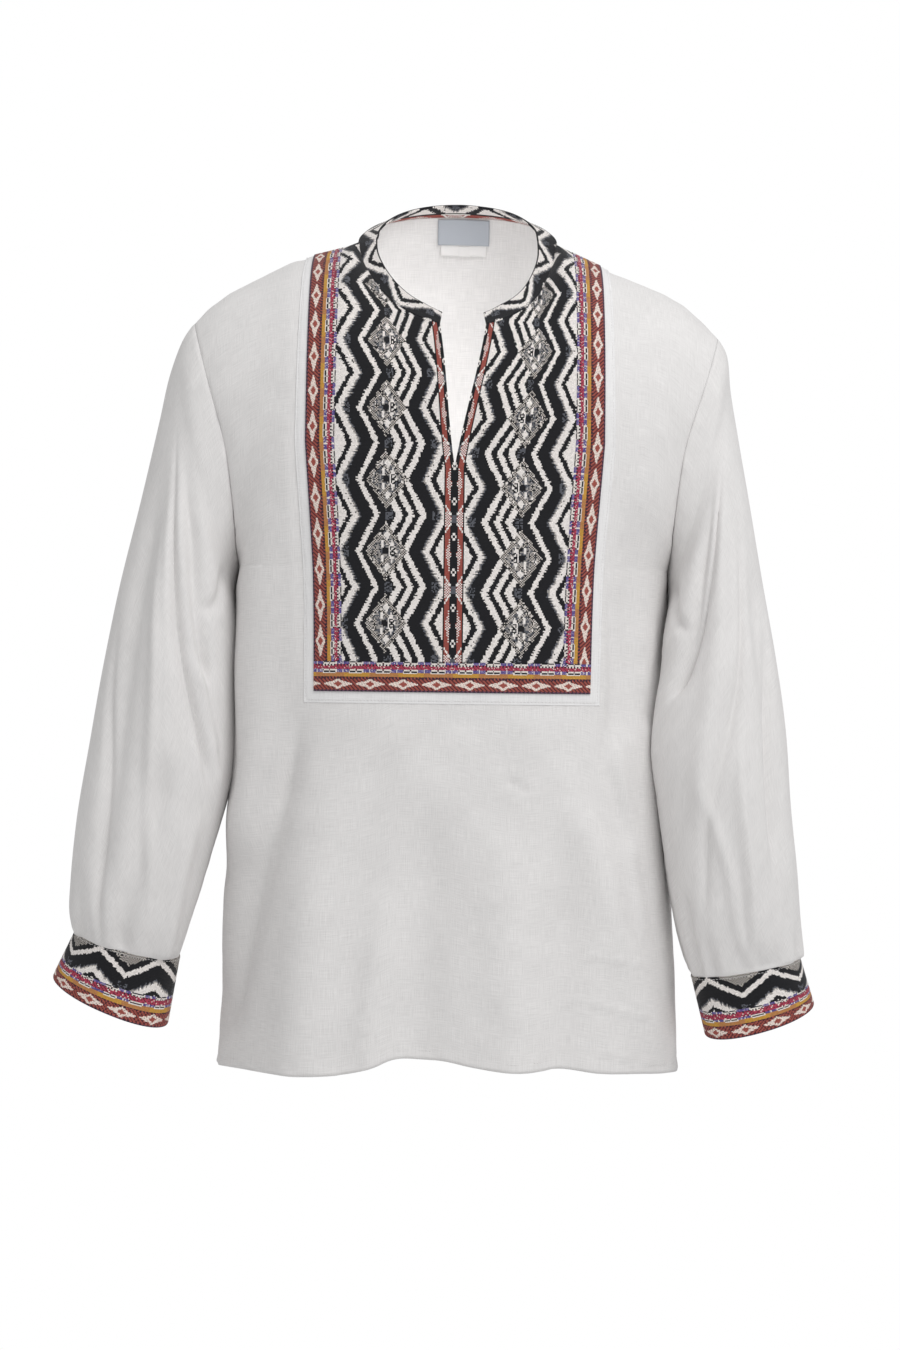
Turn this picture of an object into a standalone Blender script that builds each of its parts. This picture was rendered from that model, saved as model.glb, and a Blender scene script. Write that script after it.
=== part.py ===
"""Folk shirt: a white tunic shirt filled out as if worn, with no wearer in it.

Metres, +Z up. The origin is the neck point, level with the tops of the shoulders, on the
garment's centre line. The wearer faces -Y, and the wearer's left is +X.

Cloth is a wall: one grid of points on the cloth's inner face, and the same points moved out.
Two pieces that are sewn together share the points of their seam and the direction in which
those points move out, so the seam is an even gap.
"""

import bpy
import numpy as np

NAME = "folk_shirt"

# Cloth
WALL = 0.0010
CUFF_WALL = 0.0020
COLLAR_WALL = 0.0023
GAP = 0.0003
SEAM_GAP = 0.00066
LAYER = WALL + GAP
CLEAR = 0.0050
SEAM_STRETCH = 2.0

# Neckline: an oval that lies on a slope, steeper in front than behind
NECK_HALF = 0.0925
NECK_FRONT = 0.105
NECK_BACK = 0.075
NECK_EXPONENT = 2.1
NECK_SLOPE = 0.62
NECK_BEND = 0.30
NECK_BEND_RADIUS = 0.012
NECK_SWAY = 0.006
COLLAR_HEIGHT = 0.0195

# Front slit
SLIT_HALF = 0.021
SLIT_BOTTOM = -0.223

# Bib and its borders; the bib's edge is measured from the neck point along the shoulder
# seam, and from the column that leads up to that point everywhere below
NECK_TO_BIB = 0.016
COLUMN_TO_BIB = 0.004
RIBBON = 0.027
BASE_MARGIN = 0.0105
RIBBON_BOTTOM = -0.427

# Armhole: an oval in side view, and the levels at which the panels change their rule
UNDERARM = -0.312
YOKE = -0.200
ARMHOLE_FRONT = 0.077
ARMHOLE_BACK = 0.075
HEM_SIDE = -0.7755
HEM_CENTRE = -0.7660
HEM_ROUNDS_BELOW = -0.44

# Cells of the grids
NECK_CELLS = 7
SIDE_CELLS = 8
FRONT_SKIRT_CELLS = 11
BACK_SKIRT_CELLS = 8
FRONT_ROLL_CELLS = 7
BACK_ROLL_CELLS = 6
SLEEVE_CELLS = 22
CUFF_CELLS = 24


def table(names, rows):
    """A table as one array for each named column."""
    return dict(zip(names.split(), np.array(rows, float).T))


BODY = table("level half front back exponent", [
    (-0.7755, 0.2148, 0.150, 0.130, 2.15),
    (-0.7000, 0.2115, 0.148, 0.128, 2.20),
    (-0.6000, 0.2065, 0.144, 0.124, 2.25),
    (-0.5000, 0.2035, 0.141, 0.120, 2.30),
    (-0.4000, 0.2030, 0.138, 0.118, 2.35),
    (UNDERARM, 0.2005, 0.135, 0.118, 2.40),
    (-0.2500, 0.2060, 0.131, 0.118, 2.40),
    (YOKE, 0.2120, 0.127, 0.116, 2.40),
])

# The bib's half width, from the centre line to its border
BIB = table("level half", [
    (-0.4270, 0.1005),
    (-0.3400, 0.1020),
    (-0.2750, 0.1050),
    (YOKE, 0.1100),
])

SHOULDER = table("across level", [
    (NECK_HALF, 0.0000),
    (0.1300, -0.0170),
    (0.1800, -0.0420),
    (0.2220, -0.0650),
    (0.2455, -0.0865),
])

ARMHOLE = table("level across", [
    (UNDERARM, 0.2005),
    (-0.2500, 0.2050),
    (YOKE, 0.2120),
    (-0.1420, 0.2293),
    (-0.0865, 0.2455),
])

# Folds: a line from its top to its foot, how wide it is, and how far the cloth stands out
FRONT_FOLDS = table("top_x top_z foot_x foot_z width rise", [
    (-0.132, -0.436, -0.203, -0.760, 0.013, 0.0055),
    (-0.152, -0.440, -0.206, -0.700, 0.016, -0.0070),
    (-0.184, -0.230, -0.176, -0.470, 0.022, -0.0060),
    (-0.112, -0.520, -0.130, -0.790, 0.028, 0.0080),
    (-0.020, -0.470, -0.045, -0.790, 0.032, -0.0110),
    (0.038, -0.520, 0.052, -0.790, 0.026, 0.0070),
    (0.096, -0.560, 0.092, -0.790, 0.020, -0.0045),
    (0.088, -0.470, 0.186, -0.745, 0.020, 0.0055),
    (0.172, -0.230, 0.165, -0.430, 0.020, -0.0050),
])

BACK_FOLDS = table("top_x top_z foot_x foot_z width rise", [
    (-0.150, -0.180, -0.140, -0.560, 0.024, -0.0060),
    (-0.095, -0.330, -0.110, -0.790, 0.028, 0.0080),
    (-0.035, -0.400, -0.040, -0.790, 0.026, -0.0080),
    (0.030, -0.300, 0.024, -0.790, 0.028, 0.0070),
    (0.085, -0.420, 0.100, -0.790, 0.024, -0.0075),
    (0.148, -0.190, 0.150, -0.610, 0.024, 0.0060),
])

# Sleeves: the outer and the inner edge seen from the front, half the depth, how far back
# the middle lies, and how far the front edge dips below the back one
SLEEVE_NAMES = "outer_x outer_z inner_x inner_z depth middle_y dip"
SLEEVES = {
    "right": table(SLEEVE_NAMES, [
        (0.2560, -0.1000, 0.2075, -0.3280, 0.0765, 0.000, 0.00),
        (0.2672, -0.1290, 0.2085, -0.3420, 0.0760, 0.000, 0.00),
        (0.2775, -0.1746, 0.2092, -0.3600, 0.0745, 0.000, 0.00),
        (0.2944, -0.2500, 0.2100, -0.3880, 0.0720, -0.003, 0.00),
        (0.3114, -0.3255, 0.2105, -0.4200, 0.0695, -0.008, 0.02),
        (0.3264, -0.4010, 0.2100, -0.4620, 0.0665, -0.013, 0.04),
        (0.3396, -0.4760, 0.2100, -0.5100, 0.0645, -0.018, 0.06),
        (0.3528, -0.5516, 0.2150, -0.5600, 0.0620, -0.022, 0.08),
        (0.3575, -0.6080, 0.2305, -0.6100, 0.0550, -0.024, 0.10),
        (0.3565, -0.6350, 0.2430, -0.6470, 0.0480, -0.024, 0.12),
        (0.3500, -0.6550, 0.2530, -0.6775, 0.0400, -0.022, 0.14),
        (0.3677, -0.6970, 0.2634, -0.7390, 0.0420, -0.020, 0.24),
    ]),
    "left": table(SLEEVE_NAMES, [
        (0.2525, -0.1080, 0.2075, -0.3280, 0.0765, 0.000, 0.00),
        (0.2592, -0.1400, 0.2085, -0.3420, 0.0760, -0.002, 0.00),
        (0.2652, -0.1830, 0.2085, -0.3580, 0.0745, -0.006, 0.00),
        (0.2765, -0.2500, 0.2075, -0.3800, 0.0720, -0.014, 0.00),
        (0.2890, -0.3180, 0.2000, -0.4050, 0.0695, -0.028, 0.02),
        (0.3020, -0.3900, 0.1900, -0.4350, 0.0670, -0.045, 0.03),
        (0.3120, -0.4550, 0.1830, -0.4750, 0.0650, -0.056, 0.04),
        (0.3180, -0.5250, 0.1900, -0.5250, 0.0620, -0.060, 0.05),
        (0.3245, -0.5900, 0.2000, -0.5900, 0.0560, -0.060, 0.06),
        (0.3285, -0.6400, 0.2120, -0.6450, 0.0490, -0.057, 0.08),
        (0.3265, -0.6690, 0.2265, -0.6865, 0.0400, -0.053, 0.10),
        (0.3370, -0.7110, 0.2400, -0.7400, 0.0420, -0.050, 0.22),
    ]),
}

# Sleeve folds: the turn round the sleeve (0 outer, 0.25 front, 0.5 inner) and the way down
# it (0 armhole, 1 cuff), at the top and at the foot, then the width round and the rise
SLEEVE_FOLD_NAMES = "top_turn top_down foot_turn foot_down width rise"
SLEEVE_FOLDS = {
    "right": table(SLEEVE_FOLD_NAMES, [
        (0.22, 0.08, 0.33, 0.42, 0.035, -0.0055),
        (0.19, 0.12, 0.27, 0.66, 0.030, 0.0050),
        (0.13, 0.16, 0.17, 0.86, 0.035, -0.0050),
        (0.28, 0.55, 0.24, 1.00, 0.030, -0.0045),
        (0.36, 0.70, 0.37, 1.00, 0.026, 0.0040),
        (0.78, 0.10, 0.70, 0.70, 0.035, -0.0060),
        (0.64, 0.35, 0.80, 0.95, 0.035, 0.0050),
    ]),
    "left": table(SLEEVE_FOLD_NAMES, [
        (0.24, 0.10, 0.36, 0.45, 0.035, -0.0055),
        (0.20, 0.14, 0.31, 0.72, 0.030, 0.0045),
        (0.12, 0.28, 0.12, 0.78, 0.035, -0.0050),
        (0.40, 0.84, 0.41, 1.00, 0.020, -0.0040),
        (0.80, 0.10, 0.72, 0.75, 0.035, -0.0060),
        (0.66, 0.30, 0.78, 0.90, 0.035, 0.0050),
    ]),
}

# Labels on the inside of the back: middle, width, top and foot below the back neckline,
# and how many layers of cloth lie between each one and the back
LABELS = {
    "label_care": dict(middle=0.006, width=0.045, top=0.0030, foot=0.0350, layer=0),
    "label_woven": dict(middle=0.006, width=0.050, top=0.0010, foot=0.0245, layer=1),
    "label_size": dict(middle=0.007, width=0.011, top=0.0255, foot=0.0350, layer=1),
}

# Colours as linear red, green and blue, then roughness
PAINTS = {
    "white_cloth": ((0.76, 0.75, 0.74), 0.85),
    "patterned_cloth": ((0.16, 0.15, 0.15), 0.80),
    "border_ribbon": ((0.30, 0.07, 0.06), 0.75),
    "woven_label": ((0.45, 0.48, 0.53), 0.70),
    "printed_label": ((0.80, 0.80, 0.80), 0.70),
}


def read(rows, key, name, at):
    """A smooth curve through a table's column against its key column, level past both ends."""
    x = rows[key]
    y = rows[name]
    slope = np.gradient(y, x)
    at = np.clip(at, x[0], x[-1])
    i = np.clip(np.searchsorted(x, at, side="right") - 1, 0, len(x) - 2)
    step = x[i + 1] - x[i]
    t = (at - x[i]) / step
    start = (1 + 2 * t) * (1 - t) ** 2 * y[i] + t * (1 - t) ** 2 * step * slope[i]
    end = t**2 * (3 - 2 * t) * y[i + 1] + t**2 * (t - 1) * step * slope[i + 1]
    return start + end


def unit(vectors):
    return vectors / np.linalg.norm(vectors, axis=-1, keepdims=True)


def ease(t):
    """0 to 1 with level ends."""
    t = np.clip(t, 0, 1)
    return t * t * (3 - 2 * t)


def spaced(curve, distances):
    """Points of a finely drawn curve at distances along it; a distance under 1e-9 is its start."""
    steps = np.linalg.norm(np.diff(curve, axis=0), axis=1)
    run = np.concatenate([[0], np.cumsum(steps)])
    return np.stack([np.interp(distances, run, curve[:, i]) for i in range(3)], axis=1)


def length(curve):
    return np.linalg.norm(np.diff(curve, axis=0), axis=1).sum()


def oval(angle, exponent):
    """Sine and cosine pushed out to a superellipse of this exponent."""
    sine = np.sin(angle)
    cosine = np.cos(angle)
    power = 2 / exponent
    return np.sign(sine) * np.abs(sine) ** power, np.sign(cosine) * np.abs(cosine) ** power


def neck_curve(front):
    """Half the neckline, from the slit or the middle of the back to the shoulder seam."""
    start = np.arcsin((SLIT_HALF / NECK_HALF) ** (NECK_EXPONENT / 2)) if front else 0
    across, along = oval(np.linspace(start, np.pi / 2, 200), NECK_EXPONENT)
    y = -NECK_FRONT * along if front else NECK_BACK * along
    bend = np.sqrt(y**2 + NECK_BEND_RADIUS**2) - NECK_BEND_RADIUS
    return np.stack([NECK_HALF * across, y, NECK_SLOPE * y - NECK_BEND * bend], axis=1)


def shoulder_curve():
    across = np.linspace(NECK_HALF, SHOULDER["across"][-1], 120)
    level = read(SHOULDER, "across", "level", across)
    return np.stack([across, 0 * across, level], axis=1)


# The column at which each feature of a panel lies, counted from the centre line
AT_SHOULDER = NECK_CELLS
AT_BIB = NECK_CELLS + 2
AT_RIBBON = AT_BIB + 2
AT_BASE = AT_RIBBON + 1
COLUMNS = AT_BASE + SIDE_CELLS + 1


def borders(start, edge):
    """Where the columns from start to the bib's edge, along its border and at its margin lie."""
    beside = start + (edge - start) * 0.4
    return [start, beside, edge, edge + RIBBON / 2, edge + RIBBON, edge + RIBBON + BASE_MARGIN]


def from_centre(level, total):
    """How far each column lies from the centre line, along a section of this total length."""
    half = read(BIB, "level", "half", level)
    start = half - COLUMN_TO_BIB
    fixed = [*np.linspace(0, start, NECK_CELLS + 1), *borders(start, half)[1:]]
    rest = np.linspace(fixed[-1], total, SIDE_CELLS + 1)
    return np.array([*fixed, *rest[1:]])


def section(level, front):
    """A panel's points from its centre line to its side seam, or to its armhole above that."""
    depth = read(BODY, "level", "front" if front else "back", level)
    exponent = read(BODY, "level", "exponent", level)
    half = read(BODY, "level", "half", level)
    edge_y = 0.0
    if level > UNDERARM:
        drop = (YOKE - level) / (YOKE - UNDERARM)
        edge_y = (ARMHOLE_FRONT if front else ARMHOLE_BACK) * np.sqrt(1 - drop**2)
        half = read(ARMHOLE, "level", "across", level)
    last = np.arccos((edge_y / depth) ** (exponent / 2))
    across, along = oval(np.linspace(0, last, 200), exponent)
    y = (-depth if front else depth) * along
    curve = np.stack([half * across / across[-1], y, np.full(200, level)], axis=1)
    return spaced(curve, from_centre(level, length(curve)))


def top_edge(front):
    """The panel's points along its neckline and then along the shoulder seam."""
    neck = neck_curve(front)
    neck = spaced(neck, np.linspace(0, length(neck), NECK_CELLS + 1))
    seam = shoulder_curve()
    near = borders(0, NECK_TO_BIB)
    far = np.linspace(near[-1], length(seam), SIDE_CELLS + 1)
    return np.concatenate([neck, spaced(seam, np.array([*near[1:], *far[1:]]))])


def panel(front):
    """The wearer's left half of a panel, from hem to top, as rows of points."""
    base_foot = RIBBON_BOTTOM - BASE_MARGIN
    if front:
        skirt = np.linspace(HEM_SIDE, base_foot, FRONT_SKIRT_CELLS + 1)
        chest = np.linspace(RIBBON_BOTTOM + RIBBON, UNDERARM, 4)
        upper = np.linspace(UNDERARM, SLIT_BOTTOM, 4)[1:]
        levels = [*skirt, RIBBON_BOTTOM, *chest, *upper, YOKE]
        first, last, cells = np.radians(50), np.radians(75), FRONT_ROLL_CELLS
    else:
        skirt = np.linspace(HEM_SIDE, UNDERARM, BACK_SKIRT_CELLS + 1)
        levels = [*skirt, *np.linspace(UNDERARM, YOKE, 4)[1:]]
        first, last, cells = np.radians(60), np.radians(75), BACK_ROLL_CELLS
    rows = np.stack([section(level, front) for level in levels])
    share = np.arange(COLUMNS) / (COLUMNS - 1)
    near_hem = np.clip((HEM_ROUNDS_BELOW - rows[..., 2]) / (HEM_ROUNDS_BELOW - HEM_SIDE), 0, 1)
    rows[..., 2] += (HEM_CENTRE - HEM_SIDE) * (1 - share**3) * near_hem**2

    foot = rows[-1].copy()
    top = top_edge(front)
    neck_share = np.clip(np.arange(COLUMNS) / AT_SHOULDER, 0, 1)
    if front:
        opening = SLIT_HALF * (YOKE - SLIT_BOTTOM) / (top[0, 2] - SLIT_BOTTOM)
        foot[:, 0] += opening * (1 - neck_share)
        rows[-1] = foot
    side_share = np.clip((np.arange(COLUMNS) - AT_SHOULDER) / (COLUMNS - 1 - AT_SHOULDER), 0, 1)
    end = first + (last - first) * neck_share**2 + (np.pi / 2 - last) * side_share
    straight = np.maximum(1 - 1.6 * neck_share, ease(side_share)).clip(0, 1)
    for part in np.linspace(0, 1, cells + 1)[1:]:
        turned = part * end
        rise = np.sin(turned) / np.sin(end)
        back = (1 - np.cos(turned)) / (1 - np.cos(end))
        row = foot.copy()
        row[:, 2] += (top[:, 2] - foot[:, 2]) * rise
        row[:, 1] += (top[:, 1] - foot[:, 1]) * back
        row[:, 0] += (top[:, 0] - foot[:, 0]) * (straight * rise + (1 - straight) * back**1.5)
        row[-1, 0] = read(ARMHOLE, "level", "across", row[-1, 2])
        rows = np.concatenate([rows, row[None]])
    return rows


def outward(grid, away_from, ring=False):
    """Unit normals of a grid of points, on the side away from the points given."""
    if ring:
        across = (np.roll(grid[:, :-1], -1, axis=1) - np.roll(grid[:, :-1], 1, axis=1)) / 2
        across = np.concatenate([across, across[:, :1]], axis=1)
    else:
        across = np.gradient(grid, axis=1)
    normals = unit(np.cross(across, np.gradient(grid, axis=0)))
    facing = (normals * (grid - away_from)).sum()
    return normals if facing > 0 else -normals


def folded(grid, folds, middle):
    """The grid with its folds, which fade at their ends and at the panel's side and top."""
    normals = outward(grid, middle)
    x = grid[..., 0]
    z = grid[..., 2]
    rise = np.zeros(x.shape)
    for i in range(len(folds["rise"])):
        down = (folds["top_z"][i] - z) / (folds["top_z"][i] - folds["foot_z"][i])
        line = folds["top_x"][i] + (folds["foot_x"][i] - folds["top_x"][i]) * down
        near = np.exp(-(((x - line) / folds["width"][i]) ** 2))
        rise += folds["rise"][i] * near * ease(down * 3) * ease((1.12 - down) * 6)
    share = np.arange(COLUMNS) / (COLUMNS - 1)
    rise *= 1 - share**8
    return grid + normals * rise[..., None]


def torso():
    """Both panels, folded, as {(front or back, side): points}; side is 1 on the wearer's left."""
    halves = {}
    for front in (True, False):
        for side in (1, -1):
            grid = panel(front) * (side, 1, 1)
            middle = grid * (0, 0, 1)
            grid = folded(grid, FRONT_FOLDS if front else BACK_FOLDS, middle)
            if front:
                height = ease((grid[..., 2] - SLIT_BOTTOM) / (-0.095 - SLIT_BOTTOM))
                forward = ease(-grid[..., 1] / NECK_FRONT) * ease(2 - np.abs(grid[..., 0]) / 0.06)
                grid[..., 0] += NECK_SWAY * height * forward
            else:
                grid[:, 0, 0] = 0
            halves[front, side] = grid
    below = halves[True, 1][..., 2] <= SLIT_BOTTOM + 1e-4
    for side in (1, -1):
        centre = halves[True, side][:, 0]
        centre[below[:, 0], 0] = 0
    return halves


def armhole_ring(halves, side):
    """The armhole's points from the shoulder tip down the front and up the back to it again."""
    front = halves[True, side][:, -1]
    back = halves[False, side][:, -1]
    front = front[front[:, 2] >= UNDERARM - 1e-6][::-1]
    back = back[back[:, 2] >= UNDERARM - 1e-6]
    return np.concatenate([front, back[1:]])


def ring_turns(ring):
    """How far round the armhole each of its points lies: 0 at the tip, half at the underarm."""
    tip = ring[0, 2]
    up = np.where(ring[:, 2] > YOKE, tip - YOKE, YOKE - UNDERARM)
    deep = np.where(ring[:, 1] < 0, ARMHOLE_FRONT, ARMHOLE_BACK)
    turns = np.arctan2(-ring[:, 1] / deep, (ring[:, 2] - YOKE) / up) / (2 * np.pi)
    turns = np.where(turns < -1e-9, turns + 1, turns)
    turns[-1] = 1
    return turns


def sleeve_sections(which, turns):
    """The rings of a sleeve's table and of its cuff's foot, at these turns round it."""
    rows = SLEEVES[which]
    outer = np.stack([rows["outer_x"], rows["middle_y"], rows["outer_z"]], axis=1)
    inner = np.stack([rows["inner_x"], rows["middle_y"], rows["inner_z"]], axis=1)
    zero = np.zeros(len(outer))
    forward = np.stack([zero, -np.cos(rows["dip"]), -np.sin(rows["dip"])], axis=1)
    sine, cosine = oval(turns * 2 * np.pi, 2.15)
    reach = (outer - inner)[:, None] / 2 * cosine[None, :, None]
    depth = rows["depth"][:, None, None] * forward[:, None] * sine[None, :, None]
    return (outer + inner)[:, None] / 2 + reach + depth


def clear_of_body(grid):
    """The sleeve's points pushed outwards where they would touch the body."""
    x, y, z = grid[..., 0], grid[..., 1], grid[..., 2]
    exponent = read(BODY, "level", "exponent", z)
    deep = np.where(y < 0, read(BODY, "level", "front", z), read(BODY, "level", "back", z))
    inside = np.clip(1 - (np.abs(y) / (deep + CLEAR)) ** exponent, 0, 1)
    wall = (read(BODY, "level", "half", z) + CLEAR) * inside ** (1 / exponent)
    below = ease((UNDERARM - 0.005 - z) / 0.03)
    return np.stack([np.where(wall > x, x + (wall - x) * below, x), y, z], axis=-1)


def sleeve(which, ring):
    """A sleeve as rings of points from the armhole to the cuff, on the wearer's left side."""
    turns = ring_turns(ring)
    rings = np.concatenate([ring[None], sleeve_sections(which, turns)[:-1]])
    run = np.linalg.norm(np.diff(rings.mean(axis=1), axis=0), axis=1)
    run = np.concatenate([[0], np.cumsum(run)])
    run /= run[-1]
    down = np.linspace(0, 1, SLEEVE_CELLS + 1)
    grid = np.empty((len(down), len(turns), 3))
    for i in range(len(turns)):
        for axis in range(3):
            column = {"run": run, "value": rings[:, i, axis]}
            grid[:, i, axis] = read(column, "run", "value", down)
    grid[:, -1] = grid[:, 0]
    grid = sleeve_folded(grid, SLEEVE_FOLDS[which], turns, down)
    return clear_of_body(grid)


def sleeve_folded(grid, folds, turns, down):
    normals = outward(grid, grid.mean(axis=1, keepdims=True), ring=True)
    rise = np.zeros(grid.shape[:2])
    for i in range(len(folds["rise"])):
        part = (down - folds["top_down"][i]) / (folds["foot_down"][i] - folds["top_down"][i])
        line = folds["top_turn"][i] + (folds["foot_turn"][i] - folds["top_turn"][i]) * part
        apart = (turns[None] - line[:, None] + 0.5) % 1 - 0.5
        near = np.exp(-((apart / folds["width"][i]) ** 2))
        fade = ease(part * 3) * ease((1.1 - part) * 5)
        rise += folds["rise"][i] * near * fade[:, None]
    return grid + normals * rise[..., None]


def cuff(which):
    """An open band that laps over itself at the back of its outer side, as two rings."""
    turns = np.linspace(-0.10, 0.955, CUFF_CELLS + 1)
    rings = sleeve_sections(which, turns)[-2:]
    down = np.linspace(0, 1, 4)[:, None, None]
    band = rings[0] + (rings[1] - rings[0]) * down
    normals = outward(band, band.mean(axis=1, keepdims=True))
    lap = (CUFF_WALL + GAP) * ease((turns - 0.84) / 0.05)
    band += normals * lap[None, :, None]
    drop = unit(band[-1].mean(axis=0) - band[0].mean(axis=0))
    band[0] += drop * (GAP + WALL)
    return band


def collar_band(halves):
    """The collar from slit to slit: its foot is the neckline, and it leans in over the neck."""
    pieces = [halves[True, 1], halves[False, 1], halves[False, -1], halves[True, -1]]
    edges = [piece[-1, : AT_SHOULDER + 1] for piece in pieces]
    edges = [edges[0], edges[1][::-1], edges[2], edges[3][::-1]]
    foot = np.concatenate([edges[0], edges[1][1:], edges[2][1:], edges[3][1:]])
    sideways = np.abs(foot[:, 0]) / NECK_HALF
    centre = np.array([NECK_SWAY / 2, 0, 0])
    inward = unit((centre - foot) * (1, 1, 0))
    lean = np.radians(43 + 29 * sideways**2)[:, None]
    rise = np.sin(np.pi / 2 - lean) * (0, 0, 1) + np.sin(lean) * inward
    upright = np.where(foot[:, 1:2] < 0, 0.9, 0.5) * (1 - sideways[:, None])
    start = unit(inward * 0.9 + upright * (0, 0, 1))
    corner = np.ones(len(foot))
    corner[[0, -1]] = 0.80
    rows = [foot]
    for part in (0.34, 0.67, 1.0):
        way = unit(start * (1 - part) * 0.5 + rise)
        rows.append(foot + way * COLLAR_HEIGHT * part * corner[:, None])
    return np.stack(rows)


def seam_vectors(first, second):
    """The direction that both sides of a seam move out in, as long as keeps the walls even."""
    middle = unit(first + second)
    along = (middle * first).sum(axis=-1, keepdims=True)
    return middle / np.maximum(along, 1 / SEAM_STRETCH)


def moved_from(edge, inner_row, vectors, distance):
    """A seam's points moved off the seam, squarely to the plane of the gap, to inner_row's side."""
    square = unit(np.cross(np.gradient(edge, axis=0), vectors))
    facing = np.sign((square * (inner_row - edge)).sum(axis=-1, keepdims=True))
    return edge + square * facing * distance


def trimmed(points, edges):
    """A grid whose named edges are drawn back by half a gap: low or high row, low or high column."""
    points = points.copy()
    pairs = {
        "row_low": (np.s_[0], np.s_[1]),
        "row_high": (np.s_[-1], np.s_[-2]),
        "column_low": (np.s_[:, 0], np.s_[:, 1]),
        "column_high": (np.s_[:, -1], np.s_[:, -2]),
    }
    for edge in edges.split():
        outer, inner = pairs[edge]
        points[outer] += unit(points[inner] - points[outer]) * GAP / 2
    return points


def wall(name, patches, paint, thickness=WALL, lift=0.0):
    """A closed wall over one or more grids, each a pair of points and outward vectors."""
    points = np.concatenate([grid.reshape(-1, 3) for grid, _ in patches])
    vectors = np.concatenate([vector.reshape(-1, 3) for _, vector in patches])
    quads = []
    offset = 0
    for grid, vector in patches:
        index = np.arange(grid.shape[0] * grid.shape[1]).reshape(grid.shape[:2]) + offset
        corners = [index[:-1, :-1], index[:-1, 1:], index[1:, 1:], index[1:, :-1]]
        faces = np.stack(corners, axis=-1).reshape(-1, 4)
        a, b, c = points[faces[:, 0]], points[faces[:, 1]], points[faces[:, 3]]
        if (np.cross(b - a, c - a) * vectors[faces[:, 0]]).sum() < 0:
            faces = faces[:, ::-1]
        quads.append(faces)
        offset += index.size
    quads = np.concatenate(quads)

    _, first, same = np.unique(
        np.round(points * 1e6).astype(int), axis=0, return_index=True, return_inverse=True
    )
    same = same.reshape(-1)
    quads = same[quads]
    count = np.bincount(same)[:, None]
    mean = np.stack([np.bincount(same, vectors[:, i]) for i in range(3)], axis=1) / count
    inner = points[first] + mean * lift
    outer = points[first] + mean * (lift + thickness)

    edges = np.concatenate([quads[:, [i, (i + 1) % 4]] for i in range(4)])
    known = set(map(tuple, edges.tolist()))
    open_edges = np.array([edge for edge in edges.tolist() if (edge[1], edge[0]) not in known])
    many = len(inner)
    rim = np.stack(
        [open_edges[:, 1], open_edges[:, 0], open_edges[:, 0] + many, open_edges[:, 1] + many],
        axis=1,
    )
    halved = np.concatenate([quads[:, [0, 1, 2]], quads[:, [0, 2, 3]]])
    faces = [*halved.tolist(), *(halved[:, ::-1] + many).tolist(), *rim.tolist()]
    mesh = bpy.data.meshes.new(name)
    mesh.from_pydata(np.concatenate([outer, inner]).tolist(), [], faces)
    mesh.shade_smooth()
    mesh.set_sharp_from_angle(angle=0.7)
    mesh.materials.append(paints[paint])
    made = bpy.data.objects.new(name, mesh)
    collection.objects.link(made)
    return made


def add_paint(name, colour, roughness):
    material = bpy.data.materials.new(name)
    material.use_nodes = True
    shader = material.node_tree.nodes["Principled BSDF"]
    shader.inputs["Base Color"].default_value = (*colour, 1)
    shader.inputs["Roughness"].default_value = roughness
    shader.inputs["Metallic"].default_value = 0
    material.diffuse_color = (*colour, 1)
    return material


def add_label(name, points, vectors, middle, width, top, foot, layer):
    """A label laid on the inside of the back, read from the back's own points."""
    neckline = points[-1, COLUMNS - 1, 2]
    x = np.linspace(middle - width / 2, middle + width / 2, 5)
    rows = []
    outs = []
    for level in np.linspace(neckline - foot, neckline - top, 4):
        at_row = np.interp(level, points[:, COLUMNS - 1, 2], np.arange(len(points)))
        low = min(int(at_row), len(points) - 2)
        part = at_row - low
        row = points[low] * (1 - part) + points[low + 1] * part
        out = vectors[low] * (1 - part) + vectors[low + 1] * part
        rows.append(np.stack([np.interp(x, row[:, 0], row[:, i]) for i in range(3)], axis=1))
        outs.append(np.stack([np.interp(x, row[:, 0], out[:, i]) for i in range(3)], axis=1))
    paint = "woven_label" if name == "label_woven" else "printed_label"
    lift = SEAM_GAP + layer * (WALL + SEAM_GAP)
    wall(name, [(np.stack(rows), -np.stack(outs))], paint, lift=lift)


for old in list(bpy.data.objects):
    bpy.data.objects.remove(old)

collection = bpy.data.collections.new(NAME)
bpy.context.scene.collection.children.link(collection)
paints = {name: add_paint(name, colour, rough) for name, (colour, rough) in PAINTS.items()}

# Panels and their outward directions
halves = torso()
vectors = {key: outward(grid, grid * (0, 0, 1)) for key, grid in halves.items()}
for side in (1, -1):
    shared = unit(vectors[True, side][-1] + vectors[False, side][-1]) * (1, 0, 1)
    for front in (True, False):
        vectors[front, side][-1, AT_SHOULDER:] = unit(shared[AT_SHOULDER:])
        seam = halves[front, side][:, -1, 2] <= UNDERARM + 1e-6
        flat = vectors[front, side][:, -1] * (1, 0, 1)
        vectors[front, side][seam, -1] = unit(flat[seam])

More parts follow.
